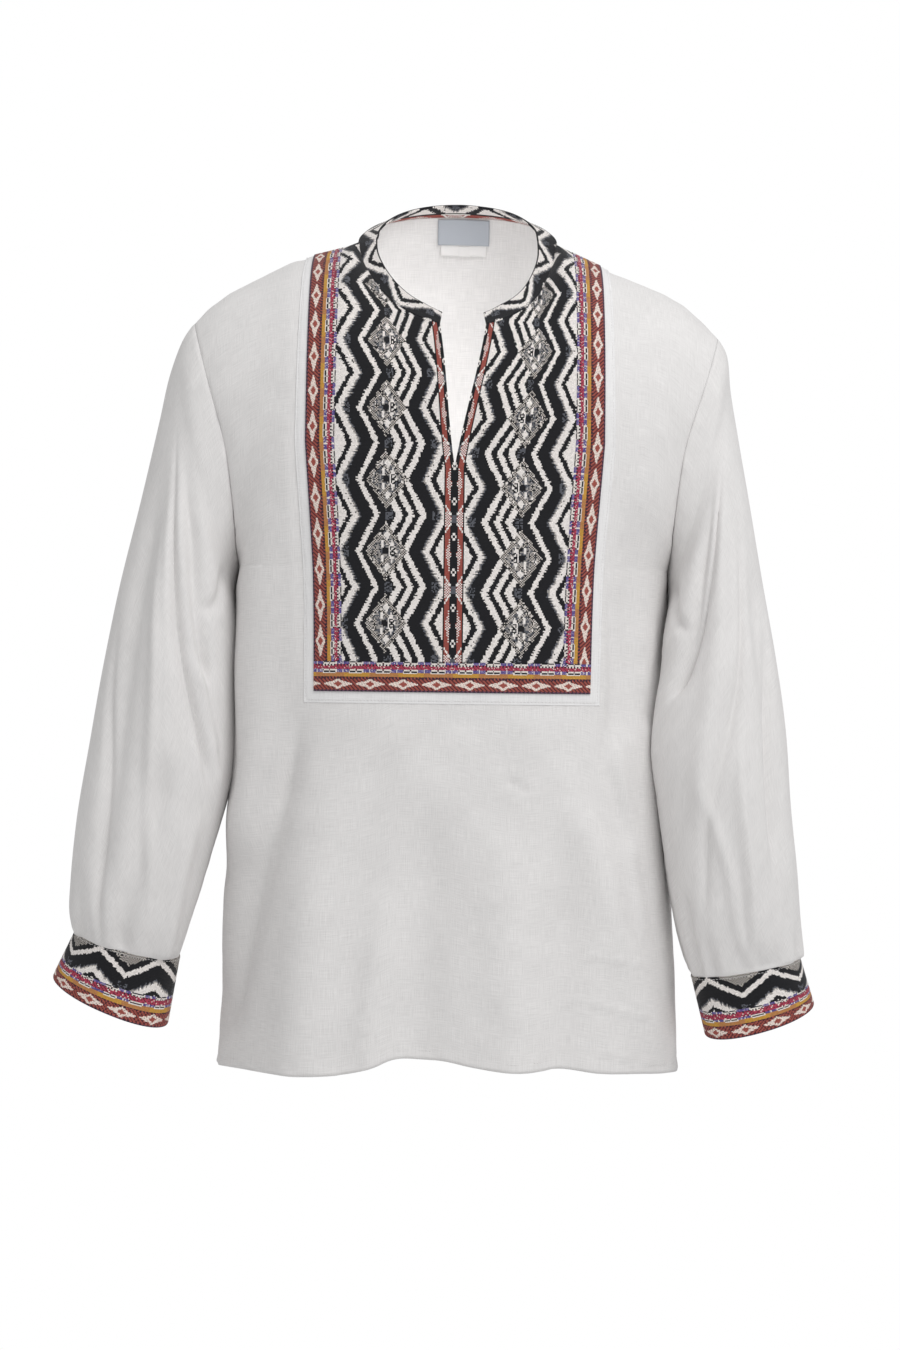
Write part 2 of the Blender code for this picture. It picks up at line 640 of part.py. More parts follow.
# Collar on the neckline
band = collar_band(halves)
band_vectors = outward(band, band.mean(axis=1, keepdims=True) - (0, 0, 0.05))
quarters = [(True, 1), (False, 1), (False, -1), (True, -1)]
start = 0
miters = np.empty((len(band[0]), 3))
for number, key in enumerate(quarters):
    neck = vectors[key][-1, : AT_SHOULDER + 1]
    neck = neck[::-1] if number % 2 else neck
    miters[start : start + AT_SHOULDER + 1] = neck
    start += AT_SHOULDER
miters = seam_vectors(miters, band_vectors[0])
start = 0
for number, key in enumerate(quarters):
    neck = miters[start : start + AT_SHOULDER + 1]
    vectors[key][-1, : AT_SHOULDER + 1] = neck[::-1] if number % 2 else neck
    start += AT_SHOULDER
band_vectors[0] = miters
band[0] = moved_from(band[0], band[1], miters, SEAM_GAP)
wall("collar", [(band, band_vectors)], "patterned_cloth", COLLAR_WALL, GAP)

# Sleeves in the armholes, and the cuffs at their ends
for which, side in (("left", 1), ("right", -1)):
    ring = armhole_ring(halves, side) * (side, 1, 1)
    tube = sleeve(which, ring)
    tube_vectors = outward(tube, tube.mean(axis=1, keepdims=True), ring=True)
    low = {front: np.argmax(halves[front, side][:, -1, 2] >= UNDERARM - 1e-6) for front in (True, False)}
    front_edge = vectors[True, side][low[True] :, -1][::-1]
    back_edge = vectors[False, side][low[False] :, -1]
    miters = np.concatenate([front_edge, back_edge[1:]]) * (side, 1, 1)
    miters = seam_vectors(miters, tube_vectors[0])
    miters[-1] = miters[0]
    tube_vectors[0] = miters
    tube[0] = moved_from(tube[0], tube[1], miters, SEAM_GAP)
    tube[0, -1] = tube[0, 0]
    half = len(front_edge)
    vectors[True, side][low[True] :, -1] = miters[:half][::-1] * (side, 1, 1)
    vectors[False, side][low[False] :, -1] = miters[half - 1 :] * (side, 1, 1)
    mirror = np.array((side, 1, 1))
    wall(f"sleeve_{which}", [(tube * mirror, tube_vectors * mirror)], "white_cloth")
    band = cuff(which)
    band_vectors = outward(band, band.mean(axis=1, keepdims=True))
    wall(f"cuff_{which}", [(band * mirror, band_vectors * mirror)], "patterned_cloth", CUFF_WALL)

# The shoulder and side seams lie in the plane between front and back
for (front, side), grid in halves.items():
    aside = -GAP / 2 if front else GAP / 2
    grid[-1, AT_SHOULDER:, 1] += aside
    grid[grid[:, -1, 2] <= UNDERARM + 1e-6, -1, 1] += aside

# Front and back
for name, front in (("front", True), ("back", False)):
    patches = [(halves[front, side], vectors[front, side]) for side in (1, -1)]
    wall(name, patches, "white_cloth")

# What is sewn on the front: the base panel, the bib in its slit, and the border ribbons
row_base = FRONT_SKIRT_CELLS
row_ribbon = row_base + 1
row_bib = row_ribbon + 1


def on_front(rows, columns, edges, side):
    points = trimmed(halves[True, side][rows, columns], edges)
    return points, vectors[True, side][rows, columns]


base = [on_front(np.s_[row_base:], np.s_[: AT_BASE + 1], "", side) for side in (1, -1)]
wall("bib_base", base, "white_cloth", lift=LAYER)
bib = [on_front(np.s_[row_bib:], np.s_[: AT_BIB + 1], "row_low column_high", side) for side in (1, -1)]
wall("bib", bib, "patterned_cloth", lift=2 * LAYER)
for which, side in (("left", 1), ("right", -1)):
    ribbon = on_front(np.s_[row_bib:], np.s_[AT_BIB : AT_RIBBON + 1], "row_low column_low", side)
    wall(f"border_{which}", [ribbon], "border_ribbon", lift=2 * LAYER)
foot = [
    on_front(np.s_[row_ribbon : row_bib + 1], np.s_[: AT_RIBBON + 1], "row_high", side)
    for side in (1, -1)
]
wall("border_bottom", foot, "border_ribbon", lift=2 * LAYER)

# Labels inside the back of the neck
back_points = np.concatenate([halves[False, -1][:, :0:-1], halves[False, 1]], axis=1)
back_vectors = np.concatenate([vectors[False, -1][:, :0:-1], vectors[False, 1]], axis=1)
for name, sizes in LABELS.items():
    add_label(name, back_points, back_vectors, **sizes)
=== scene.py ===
"""The look of a white folk shirt with a woven bib, patterned collar and cuffs.

It is filled out as if worn, with no wearer in it. Metres; the origin is the neck point, the
wearer faces -Y and the wearer's left is +X. Each sewn piece is a thin shell on the form of
its solid, cut and coloured as flat cloth is: u across and v along, in metres.
"""

import bpy
import numpy as np
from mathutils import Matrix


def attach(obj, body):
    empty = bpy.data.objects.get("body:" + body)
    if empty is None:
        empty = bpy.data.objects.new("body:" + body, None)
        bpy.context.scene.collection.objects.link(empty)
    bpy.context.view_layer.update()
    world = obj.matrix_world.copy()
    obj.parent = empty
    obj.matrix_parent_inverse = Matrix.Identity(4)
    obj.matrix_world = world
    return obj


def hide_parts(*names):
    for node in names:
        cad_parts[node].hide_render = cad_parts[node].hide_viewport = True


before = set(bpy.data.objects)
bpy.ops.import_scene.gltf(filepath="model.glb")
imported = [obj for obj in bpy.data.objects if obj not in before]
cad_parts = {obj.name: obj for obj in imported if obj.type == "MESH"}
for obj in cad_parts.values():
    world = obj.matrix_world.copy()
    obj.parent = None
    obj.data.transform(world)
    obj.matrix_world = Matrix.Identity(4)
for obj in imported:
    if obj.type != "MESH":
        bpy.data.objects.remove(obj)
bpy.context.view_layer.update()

# Camera and studio
# The shirt is seen level and from the front, 3.5 m away, in a white room with large soft
# light panels; it hangs over a plain pale floor.
CAMERA_AWAY = 3.5
CAMERA_ASIDE = -0.002
CAMERA_LEVEL = -0.411
CAMERA_ROLL = -0.7
# Metres of the shirt's own plane that the picture's height takes in
PICTURE_HEIGHT = 1.269
SENSOR = 36
scene = bpy.context.scene
camera = bpy.data.objects.new("camera", bpy.data.cameras.new("camera"))
scene.collection.objects.link(camera)
scene.camera = camera
camera.location = (CAMERA_ASIDE, -CAMERA_AWAY, CAMERA_LEVEL)
camera.rotation_euler = np.radians([90, CAMERA_ROLL, 0])
camera.data.sensor_width = SENSOR
camera.data.lens = SENSOR * CAMERA_AWAY / PICTURE_HEIGHT
scene.view_settings.view_transform = "Standard"


def linear(code):
    """An sRGB hex colour as linear red, green and blue."""
    part = np.array([int(code[i : i + 2], 16) for i in (1, 3, 5)]) / 255
    return np.where(part <= 0.04045, part / 12.92, ((part + 0.055) / 1.055) ** 2.4)


def add(tree, kind, sockets=None, **settings):
    """A shader node with its settings; each named socket takes a value or an output."""
    made = tree.nodes.new("ShaderNode" + kind)
    for name, value in settings.items():
        setattr(made, name, value)
    for name, value in (sockets or {}).items():
        if isinstance(value, bpy.types.NodeSocket):
            tree.links.new(value, made.inputs[name])
        else:
            made.inputs[name].default_value = value
    return made


def new_material(name, numbers):
    """A new material, numbers set on its shader's own sockets, and its node tree."""
    made = bpy.data.materials.new(name)
    made.use_nodes = True
    for socket, value in numbers.items():
        made.node_tree.nodes["Principled BSDF"].inputs[socket].default_value = value
    return made, made.node_tree


def panel_light(name, place, aim, size, power):
    """A square soft light that faces the point it is aimed at."""
    light = bpy.data.lights.new(name, "AREA")
    light.size = size
    light.energy = power
    made = bpy.data.objects.new(name, light)
    way = np.subtract(aim, place)
    made.location = place
    made.rotation_euler = (
        np.pi / 2 + np.arctan2(way[2], np.hypot(way[0], way[1])),
        0,
        np.arctan2(-way[0], way[1]),
    )
    made.visible_camera = False
    scene.collection.objects.link(made)


panel_light("key_light", (1.5, -2.3, 1.9), (0, 0, -0.35), 1.5, 38)
panel_light("top_light", (0.5, -0.9, 2.3), (0, 0, -0.20), 1.4, 7)
panel_light("front_light", (0.6, -3.2, 0.2), (0, 0, -0.40), 1.4, 5)
# The daylight that thin white cloth lets through to the inside of the neck
panel_light("light_through_cloth", (0, -0.045, -0.20), (0, 0.10, -0.08), 0.10, 0.25)

world = bpy.data.worlds.new("white_room")
scene.world = world
world.use_nodes = True
room = world.node_tree
room_light = room.nodes["Background"]
seen = add(room, "LightPath").outputs["Is Camera Ray"]
strength = add(room, "MapRange", {"Value": seen, "To Min": 0.57, "To Max": 1.0})
room.links.new(strength.outputs["Result"], room_light.inputs["Strength"])
room_light.inputs["Color"].default_value = (1, 1, 1, 1)

FLOOR_LEVEL = -1.30
FLOOR_RADIUS = 1.05
turn = np.linspace(0, 2 * np.pi, 97)[:-1]
disc = np.stack([FLOOR_RADIUS * np.cos(turn), FLOOR_RADIUS * np.sin(turn), 0 * turn], axis=1)
floor_mesh = bpy.data.meshes.new("floor")
floor_mesh.from_pydata((disc + (0, 0, FLOOR_LEVEL)).tolist(), [], [list(range(len(turn)))])
floor = bpy.data.objects.new("floor", floor_mesh)
scene.collection.objects.link(floor)
# A matt, plainly painted floor
pale = {"Base Color": (*linear("#F3F3F3"), 1), "Roughness": 0.8}
pale_floor, _ = new_material("pale_painted_floor", pale)
floor_mesh.materials.append(pale_floor)

# Front and back panels
# Two panels of white plain-weave linen and cotton, sewn together at the shoulders and down
# the sides; the front is slit from the neck down, and the foot is a narrow stitched hem.
NECK_HALF = 0.0925
NECK_FRONT = 0.105
NECK_BACK = 0.075
NECK_EXPONENT = 2.1
NECK_SLOPE = 0.62
NECK_BEND = 0.30
NECK_BEND_RADIUS = 0.012
NECK_SWAY = 0.006
SLIT_HALF = 0.021
SLIT_BOTTOM = -0.223
NECK_TO_BIB = 0.016
COLUMN_TO_BIB = 0.004
RIBBON = 0.027
BASE_MARGIN = 0.0105
RIBBON_BOTTOM = -0.427
UNDERARM = -0.312
YOKE = -0.200
ARMHOLE_FRONT = 0.077
ARMHOLE_BACK = 0.075
HEM_SIDE = -0.7755
HEM_CENTRE = -0.7660
HEM_ROUNDS_BELOW = -0.44
# Degrees that a panel has turned by at its top edge: at the centre line, then beside the neck
TURN_FRONT = 50
TURN_BACK = 60
TURN_BESIDE_NECK = 75
HEM_DEPTH = 0.0080
CLOTH = 0.0006
# How far off the form of its solid the cloth of the panels and the sleeves lies
FRONT_LIFT = 0.0008
SLIT_BACK = 0.0006
LINEN = "#EDEBEA"


def table(names, rows, parts=1):
    """A table as one array for each named column, its numbers written in parts of a metre."""
    return dict(zip(names.split(), np.array(rows, float).T / parts))


# At each level the body's half width, its depth before and behind the side seams, and the
# exponent of its superellipse; then the bib's half width, the shoulder seam and the armhole
BODY = table("level half front back exponent", [
    (-0.7755, 0.2148, 0.150, 0.130, 2.15),
    (-0.7000, 0.2115, 0.148, 0.128, 2.20),
    (-0.6000, 0.2065, 0.144, 0.124, 2.25),
    (-0.5000, 0.2035, 0.141, 0.120, 2.30),
    (-0.4000, 0.2030, 0.138, 0.118, 2.35),
    (UNDERARM, 0.2005, 0.135, 0.118, 2.40),
    (-0.2500, 0.2060, 0.131, 0.118, 2.40),
    (YOKE, 0.2120, 0.127, 0.116, 2.40),
])
BIB = table("level half", [
    (-0.4270, 0.1005),
    (-0.3400, 0.1020),
    (-0.2750, 0.1050),
    (YOKE, 0.1100),
])
SHOULDER = table("across level", [
    (NECK_HALF, 0.0000),
    (0.1300, -0.0170),
    (0.1800, -0.0420),
    (0.2220, -0.0650),
    (0.2455, -0.0865),
])
ARMHOLE = table("level across", [
    (UNDERARM, 0.2005),
    (-0.2500, 0.2050),
    (YOKE, 0.2120),
    (-0.1420, 0.2293),
    (-0.0865, 0.2455),
])
# Folds, in millimetres: x and z of a line's top and of its foot, its width, and its rise
FRONT_FOLDS = [
    (-132, -430, -202, -725, 15, -10.5),
    (-100, -470, -150, -790, 34, 10),
    (-166, -440, -222, -700, 16, 5),
    (-175, -225, -186, -560, 20, 10.5),
    (-118, -560, -126, -790, 26, 8.5),
    (-20, -500, -30, -790, 30, -13),
    (46, -520, 62, -790, 26, 9),
    (104, -560, 98, -790, 18, -6),
    (94, -470, 184, -740, 18, 8),
    (126, -520, 150, -790, 22, 6),
    (168, -230, 160, -450, 18, -6.5),
]
FRONT_CREASES = [
    (-136, -434, -205, -720, 5, -4.2),
    (-146, -452, -176, -600, 6, 3),
    (140, -430, 176, -640, 7, 3.6),
    (133, -438, 160, -560, 6, -3.8),
    (139, -300, 150, -470, 7, -3.6),
    (48, -502, 66, -514, 6, -2.6),
    (-205, -330, -196, -520, 8, -3.6),
    (200, -320, 188, -450, 8, -3.6),
    (-60, -600, -75, -780, 12, 3.4),
    (108, -660, 176, -676, 5, 2.2),
    (102, -700, 180, -722, 5, 2.2),
    (118, -745, 190, -762, 5, 2),
]
BACK_FOLDS = [
    (-150, -180, -140, -560, 22, -8),
    (-95, -330, -110, -790, 26, 10),
    (-35, -400, -40, -790, 24, -10),
    (30, -300, 24, -790, 26, 8.5),
    (85, -420, 100, -790, 22, -9.5),
    (148, -190, 150, -610, 22, 7.5),
]
BACK_CREASES = [
    (-190, -330, -176, -560, 8, -3.6),
    (-120, -110, -85, -230, 10, 3.2),
    (95, -100, 78, -210, 9, 3),
    (186, -320, 170, -520, 8, -3.6),
    (-70, -560, -74, -780, 10, 3.2),
    (58, -600, 66, -780, 10, -3.2),
]
# How much higher each shoulder is worn than its solid: the wearer's left, then the right
SHOULDER_SHIFT = {1: -0.0060, -1: 0.0025}
# How much lower than its solid the cloth lies beside the neck, at the collar's foot
NECK_SIDE_DROP = 0.0070
# Where that lower cloth is centred, out and back from the origin, and its reach
NECK_SIDE = (0.095, 0.010)
NECK_SIDE_REACH = 0.07
# Folds die out this near to the side seams and the armholes
SEAM_HOLD = 0.030
# How far creases sway off their lines, and the rise of the cloth's long slack and of its
# short unevenness; under the bib it is pressed in instead
CREASE_SWAY = 0.0022
SLACK = 0.0018
UNEVENNESS = 0.0006
PRESSED_IN = 0.0004
# A sewn edge's sink and its width, then the rise and the width of the puckers beside it
SINK = 0.0008
SINK_WIDE = 0.0022
PUCKER = 0.0007
PUCKER_WIDE = 0.011
# How far the foot of the front hangs above or below its level line, in millimetres
HEM_LINE = table("x drop", [
    (-205, -3.6), (-158, -6.3), (-123, -8), (-88, -5.4),
    (-70, -1), (-52, 7), (-23, 8), (-2, 6.8),
    (18, 2.7), (34, 0), (58, -2.7), (84, -1.2),
    (100, 0.9), (135, -2.7), (169, -3.6), (193, -4.5),
], 1000)


def through(x, y, at):
    """A smooth curve through the values y at x, read at other places: cubic between two."""
    slope = np.gradient(y, x, axis=0)
    at = np.clip(at, x[0], x[-1])
    i = np.clip(np.searchsorted(x, at, side="right") - 1, 0, len(x) - 2)
    spare = (1,) * (y.ndim - 1)
    step = (x[i + 1] - x[i]).reshape(np.shape(i) + spare)
    t = (at - x[i]).reshape(np.shape(i) + spare) / step
    start = (1 + 2 * t) * (1 - t) ** 2 * y[i] + t * (1 - t) ** 2 * step * slope[i]
    end = t**2 * (3 - 2 * t) * y[i + 1] + t**2 * (t - 1) * step * slope[i + 1]
    return start + end


def read(rows, key, name, at):
    """A smooth curve through a table's column against its key column, level past both ends."""
    return through(rows[key], rows[name], np.asarray(at, float))


def unit(vectors):
    """Vectors over their own lengths."""
    return vectors / np.maximum(np.linalg.norm(vectors, axis=-1, keepdims=True), 1e-12)


def ease(t):
    """0 to 1 with level ends: 3t squared less 2t cubed."""
    t = np.clip(t, 0, 1)
    return t * t * (3 - 2 * t)


def runs(points, axis=0):
    """The distance along each line of a grid, from its first point."""
    steps = np.linalg.norm(np.diff(points, axis=axis), axis=-1)
    return np.insert(np.cumsum(steps, axis=axis), 0, 0, axis=axis)


def along_line(values, run, at):
    """Each column of the values that lie at these runs along a line, read at other runs."""
    return np.stack([np.interp(at, run, column) for column in values.T], axis=-1)


def spaced(curve, distances):
    """Points of a finely drawn curve at distances along it."""
    return along_line(curve, runs(curve), distances)


def flat_grid(u, v):
    """The flat distances u and v of every point of a grid."""
    return np.stack(np.broadcast_arrays(u, v), axis=-1)


def oval(angle, exponent):
    """Sine and cosine pushed out to a superellipse: each to the power 2 / exponent."""
    sine = np.sin(angle)
    cosine = np.cos(angle)
    power = 2 / exponent
    return np.sign(sine) * np.abs(sine) ** power, np.sign(cosine) * np.abs(cosine) ** power


# The column at which each feature of a panel lies, counted from the centre line
AT_NECK = 7
AT_BIB = 9
AT_RIBBON = 11
AT_BASE = 12
AT_SIDE = 20
SIDES = (1, -1)


def spread(counts, ends):
    """Positions from the first end to the last, with this many equal cells between each two."""
    pieces = [np.linspace(a, b, n + 1)[1:] for a, b, n in zip(ends, ends[1:], counts)]
    return np.concatenate([[ends[0]], *pieces])


def section_levels(skirt, armhole):
    """Levels from the hem to the yoke: equal steps, then the cosine of equal angles."""
    angle = np.linspace(np.radians(8), np.pi / 2, armhole)
    upper = YOKE - (YOKE - UNDERARM) * np.cos(angle)
    return np.concatenate([np.linspace(HEM_SIDE, UNDERARM, skirt + 1), upper])


FEATURES = (0, AT_NECK, AT_BIB, AT_RIBBON, AT_BASE, AT_SIDE - 0.4, AT_SIDE)
# The front's and the back's columns, the levels below the yoke, and the shares of the turn
# from the yoke up to the top edge
PANELS = {
    front: dict(
        columns=spread(cells, FEATURES),
        levels=section_levels(skirt, armhole),
        roll=spread((roll, 5), (0, 0.97, 1)),
    )
    for front, cells, skirt, armhole, roll in (
        (True, (26, 4, 6, 3, 34, 4), 126, 36, 54),
        (False, (20, 3, 4, 3, 28, 4), 102, 28, 40),
    )
}


def borders(start, edge):
    """Where the columns from start to the bib's edge, along its border and at its margin lie."""
    beside = start + (edge - start) * 0.4
    return [start, beside, edge, edge + RIBBON / 2, edge + RIBBON, edge + RIBBON + BASE_MARGIN]


def from_centre(columns, level, total, whole):
    """How far each column lies from the centre line, along a section of this total length.

    What the armhole takes off the whole length is taken from the columns by a power of their
    share of it, so that little is taken from those far from a shallow cut.
    """
    half = read(BIB, "level", "half", level)
    start = half - COLUMN_TO_BIB
    fixed = [*np.linspace(0, start, AT_NECK + 1), *borders(start, half)[1:]]
    share = np.linspace(0, 1, AT_SIDE - AT_BASE + 1)
    power = np.clip(0.5 * (whole - fixed[-1]) / max(whole - total, 1e-6), 1, 4)
    rest = fixed[-1] + (whole - fixed[-1]) * share - (whole - total) * share**power
    return np.interp(columns, np.arange(AT_SIDE + 1), [*fixed, *rest[1:]])


def section(columns, level, front):
    """A panel's level line: a superellipse quarter, cut off at the armhole where there is one."""
    depth = read(BODY, "level", "front" if front else "back", level)
    exponent = read(BODY, "level", "exponent", level)
    half = read(BODY, "level", "half", level)
    edge_y = 0.0
    if level > UNDERARM:
        drop = (YOKE - level) / (YOKE - UNDERARM)
        edge_y = (ARMHOLE_FRONT if front else ARMHOLE_BACK) * np.sqrt(1 - drop**2)
        half = read(ARMHOLE, "level", "across", level)
    last = np.arccos((edge_y / depth) ** (exponent / 2))
    across, along = oval(np.linspace(0, last, 400), exponent)
    y = (-depth if front else depth) * along
    curve = np.stack([half * across / across[-1], y, np.full(400, level)], axis=1)
    uncut = np.stack(oval(np.linspace(0, np.pi / 2, 400), exponent), axis=1) * (half, depth)
    away = from_centre(columns, level, runs(curve)[-1], runs(uncut)[-1])
    return spaced(curve, away), away


def top_edge(columns, front):
    """The panel's points along its neckline, an oval on a slope, and then the shoulder seam."""
    start = np.arcsin((SLIT_HALF / NECK_HALF) ** (NECK_EXPONENT / 2)) if front else 0
    across, along = oval(np.linspace(start, np.pi / 2, 400), NECK_EXPONENT)
    y = -NECK_FRONT * along if front else NECK_BACK * along
    bend = np.sqrt(y**2 + NECK_BEND_RADIUS**2) - NECK_BEND_RADIUS
    neck = np.stack([NECK_HALF * across, y, NECK_SLOPE * y - NECK_BEND * bend], axis=1)
    across = np.linspace(NECK_HALF, SHOULDER["across"][-1], 240)
    level = read(SHOULDER, "across", "level", across)
    seam = np.stack([across, 0 * across, level], axis=1)
    near = borders(0, NECK_TO_BIB)
    far = np.linspace(near[-1], runs(seam)[-1], AT_SIDE - AT_BASE + 1)
    on_neck = columns <= AT_NECK
    along_neck = columns[on_neck] / AT_NECK * runs(neck)[-1]
    along_seam = np.interp(columns[~on_neck], np.arange(AT_NECK, AT_SIDE + 1), [*near, *far[1:]])
    return np.concatenate([spaced(neck, along_neck), spaced(seam, along_seam)])


def panel(front):
    """The wearer's left half of a panel, from hem to top, and each point's flat distance across.

    Level sections up to the yoke; above it each column rises as the sine of an angle and
    goes back as one less its cosine, up to the neckline or the shoulder seam.
    """
    columns, levels = PANELS[front]["columns"], PANELS[front]["levels"]
    first = np.radians(TURN_FRONT if front else TURN_BACK)
    last = np.radians(TURN_BESIDE_NECK)
    made = [section(columns, level, front) for level in levels]
    rows = np.stack([row for row, _ in made])
    away = np.stack([distance for _, distance in made])
    top = top_edge(columns, front)
    neck_share = np.clip(columns / AT_NECK, 0, 1)
    aside = np.zeros(away.shape)
    if front:
        slope = SLIT_HALF / (top[0, 2] - SLIT_BOTTOM)
        aside = slope * np.clip(levels - SLIT_BOTTOM, 0, None)[:, None] * (1 - neck_share)
    beside = rows[-1, :, 0]
    rows[..., 0] += aside
    foot = rows[-1].copy()
    share = columns / AT_SIDE
    near_hem = np.clip((HEM_ROUNDS_BELOW - rows[..., 2]) / (HEM_ROUNDS_BELOW - HEM_SIDE), 0, 1)
    rows[..., 2] += (HEM_CENTRE - HEM_SIDE) * (1 - share**3) * near_hem**2
    side_share = np.clip((columns - AT_NECK) / (AT_SIDE - AT_NECK), 0, 1)
    end = first + (last - first) * neck_share**2 + (np.pi / 2 - last) * side_share
    straight = np.maximum(1 - 1.6 * neck_share, ease(side_share)).clip(0, 1)
    turned = PANELS[front]["roll"][1:, None] * end
    rise = np.sin(turned) / np.sin(end)
    back = (1 - np.cos(turned)) / (1 - np.cos(end))
    way = straight * rise + (1 - straight) * back**1.5
    upper = foot + (top - foot) * np.stack([way, back, rise], axis=-1)
    upper[:, -1, 0] = read(ARMHOLE, "level", "across", upper[:, -1, 2])
    over = np.interp(upper[..., 0], beside, away[-1])
    over += np.clip(upper[..., 0] - beside[-1], 0, None)
    return np.concatenate([rows, upper]), np.concatenate([away + aside, over])


def outward(grid, away_from, ring=False):
    """Unit normals of a grid of points, on the side away from the points given."""
    if ring:
        across = np.roll(grid[:, :-1], -1, axis=1) - np.roll(grid[:, :-1], 1, axis=1)
        across = np.concatenate([across, across[:, :1]], axis=1)
    else:
        across = np.gradient(grid, axis=1)
    normals = unit(np.cross(across, np.gradient(grid, axis=0)))
    return normals if (normals * (grid - away_from)).sum() > 0 else -normals


def fold_rise(across, along, folds, sway=0.0, wave=(7, 2.4), fade=(1.12, 6), ring=False):
    """How far folds lift the cloth: a bell across each line, faded in and out along it.

    The line sways by a sine, wave giving its pace and lag; round a ring, across is in turns.
    """
    total = 0
    for i, (top, start, foot, end, width, rise) in enumerate(np.array(folds) / 1000):
        part = (along - start) / (end - start)
        apart = across - (top + (foot - top) * part + sway * np.sin(wave[0] * part + wave[1] * i))
        if ring:
            apart = (apart + 0.5) % 1 - 0.5
        near = np.exp(-((apart / width) ** 2))
        total = total + rise * near * ease(part * 3) * ease((fade[0] - part) * fade[1])
    return total


def ripple(u, v, seed, size):
    """Slack in the cloth: nine long waves of uneven length, way and phase, added up."""
    draw = np.random.default_rng(seed)
    total = 0
    for _ in range(9):
        wave = draw.uniform(18, 70)
        tilt = draw.normal(0, 0.55)
        lag = draw.uniform(0, 2 * np.pi, 2)
        swing = 1 + 0.6 * np.sin(v * draw.uniform(9, 21) + lag[1])
        phase = u * wave * np.cos(tilt) + v * wave * 0.5 * np.sin(tilt) + lag[0]
        total = total + np.sin(phase) * swing
    return total * size / 4


def lattice(u, v, seed, cell):
    """Soft noise: random values on a square lattice, eased between the corners."""
    draw = np.random.default_rng(seed).uniform(-1, 1, (64, 64))
    x = np.asarray(u) / cell
    y = np.asarray(v) / cell
    i = np.floor(x).astype(int)
    j = np.floor(y).astype(int)
    s = ease(x - i)
    t = ease(y - j)
    low = draw[i % 64, j % 64] * (1 - s) + draw[(i + 1) % 64, j % 64] * s
    high = draw[i % 64, (j + 1) % 64] * (1 - s) + draw[(i + 1) % 64, (j + 1) % 64] * s
    return low * (1 - t) + high * t


def seam_pull(apart, along, seed):
    """A sewn edge sinks a little, and the cloth beside it puckers: both fade with distance."""
    sink = -SINK * np.exp(-((apart / SINK_WIDE) ** 2))
    pucker = PUCKER * lattice(along, 0 * along, seed, PUCKER_WIDE)
    return sink + pucker * np.exp(-((apart / PUCKER_WIDE) ** 2)) * ease(apart / 0.003)


def folded_half(front, side):
    """Half a panel with its folds and its slack, its outward normals and its flat distances."""
    columns = PANELS[front]["columns"]
    grid, away = panel(front)
    grid = grid * (side, 1, 1)
    middle = grid * (0, 0, 1)
    x, z = grid[..., 0], grid[..., 2]
    gap = np.linalg.norm(grid[:, :, None] - grid[None, None, :, -1], axis=-1).min(axis=2)
    free = ease(gap / SEAM_HOLD)
    bare = np.ones(z.shape)
    if front:
        below = ease((RIBBON_BOTTOM - BASE_MARGIN - z) / 0.02)
        margin = away[:, np.searchsorted(columns, AT_BASE)]
        bare = np.maximum(below, ease((away - margin[:, None]) / 0.012))
    rise = fold_rise(x, z, FRONT_FOLDS if front else BACK_FOLDS)
    fine = fold_rise(x, z, FRONT_CREASES if front else BACK_CREASES, CREASE_SWAY)
    fine += ripple(x, z, 5 if front else 8, SLACK)
    fine += UNEVENNESS * lattice(x + 0.5, z + 1, 17 if front else 23, 0.024)
    rise += fine * bare - PRESSED_IN * (1 - bare) * (1 + lattice(x + 0.5, z + 1, 3, 0.05))
    grid = grid + outward(grid, middle) * (rise * free)[..., None]
    # How the photographed shirt hangs: its shoulders, the neck's sides and the front's foot
    shrug = SHOULDER_SHIFT[side] * ease((np.abs(x) - 0.085) / 0.07) * ease((z - YOKE) / 0.12)
    back_from = np.abs(grid[..., 1] - NECK_SIDE[1]) / NECK_SIDE_REACH
    out_from = np.abs(np.abs(x) - NECK_SIDE[0]) / NECK_SIDE_REACH
    near_neck = ease(1 - back_from) * ease((z + 0.12) / 0.08) * ease(1 - out_from)
    grid[..., 2] += shrug - NECK_SIDE_DROP * near_neck
    if front:
        grid[..., 2] += read(HEM_LINE, "x", "drop", x) * free * ease((-0.690 - z) / 0.080)
    closed = np.ones(len(grid), bool)
    if front:
        height = ease((grid[..., 2] - SLIT_BOTTOM) / (-0.095 - SLIT_BOTTOM))
        forward = ease(-grid[..., 1] / NECK_FRONT) * ease(2 - np.abs(grid[..., 0]) / 0.06)
        grid[..., 0] += NECK_SWAY * height * forward
        closed = grid[:, 0, 2] <= SLIT_BOTTOM
    grid[closed, 0, 0] = 0
    normals = outward(grid, middle)
    normals[closed, 0, 0] = 0
    # The halves and the panels meet with the same normals down the sides and at the shoulders
    sewn = grid[:, -1, 2] <= UNDERARM + 1e-6
    normals[sewn, -1, 1] = 0
    seam = np.gradient(grid[-1], axis=0)
    upright = np.stack([-seam[:, 2], 0 * seam[:, 0], seam[:, 0]], axis=1) * side
    on_seam = columns >= AT_NECK
    normals[-1, on_seam] = upright[on_seam]
    # At the armhole the cloth turns outwards, half-way to the sleeve's own direction
    arm = ~sewn
    arm[-1] = False
    centre = np.array([grid[-1, -1, 0], 0, YOKE])
    radial = (grid[arm, -1] - centre) * (0, 1, 1)
    normals[arm, -1] = unit(normals[arm, -1]) + unit(radial)
    normals = unit(normals)
    return dict(grid=grid, normals=normals, away=away, up=runs(grid), closed=closed, gap=gap)


halves = {(front, side): folded_half(front, side) for front in (True, False) for side in SIDES}
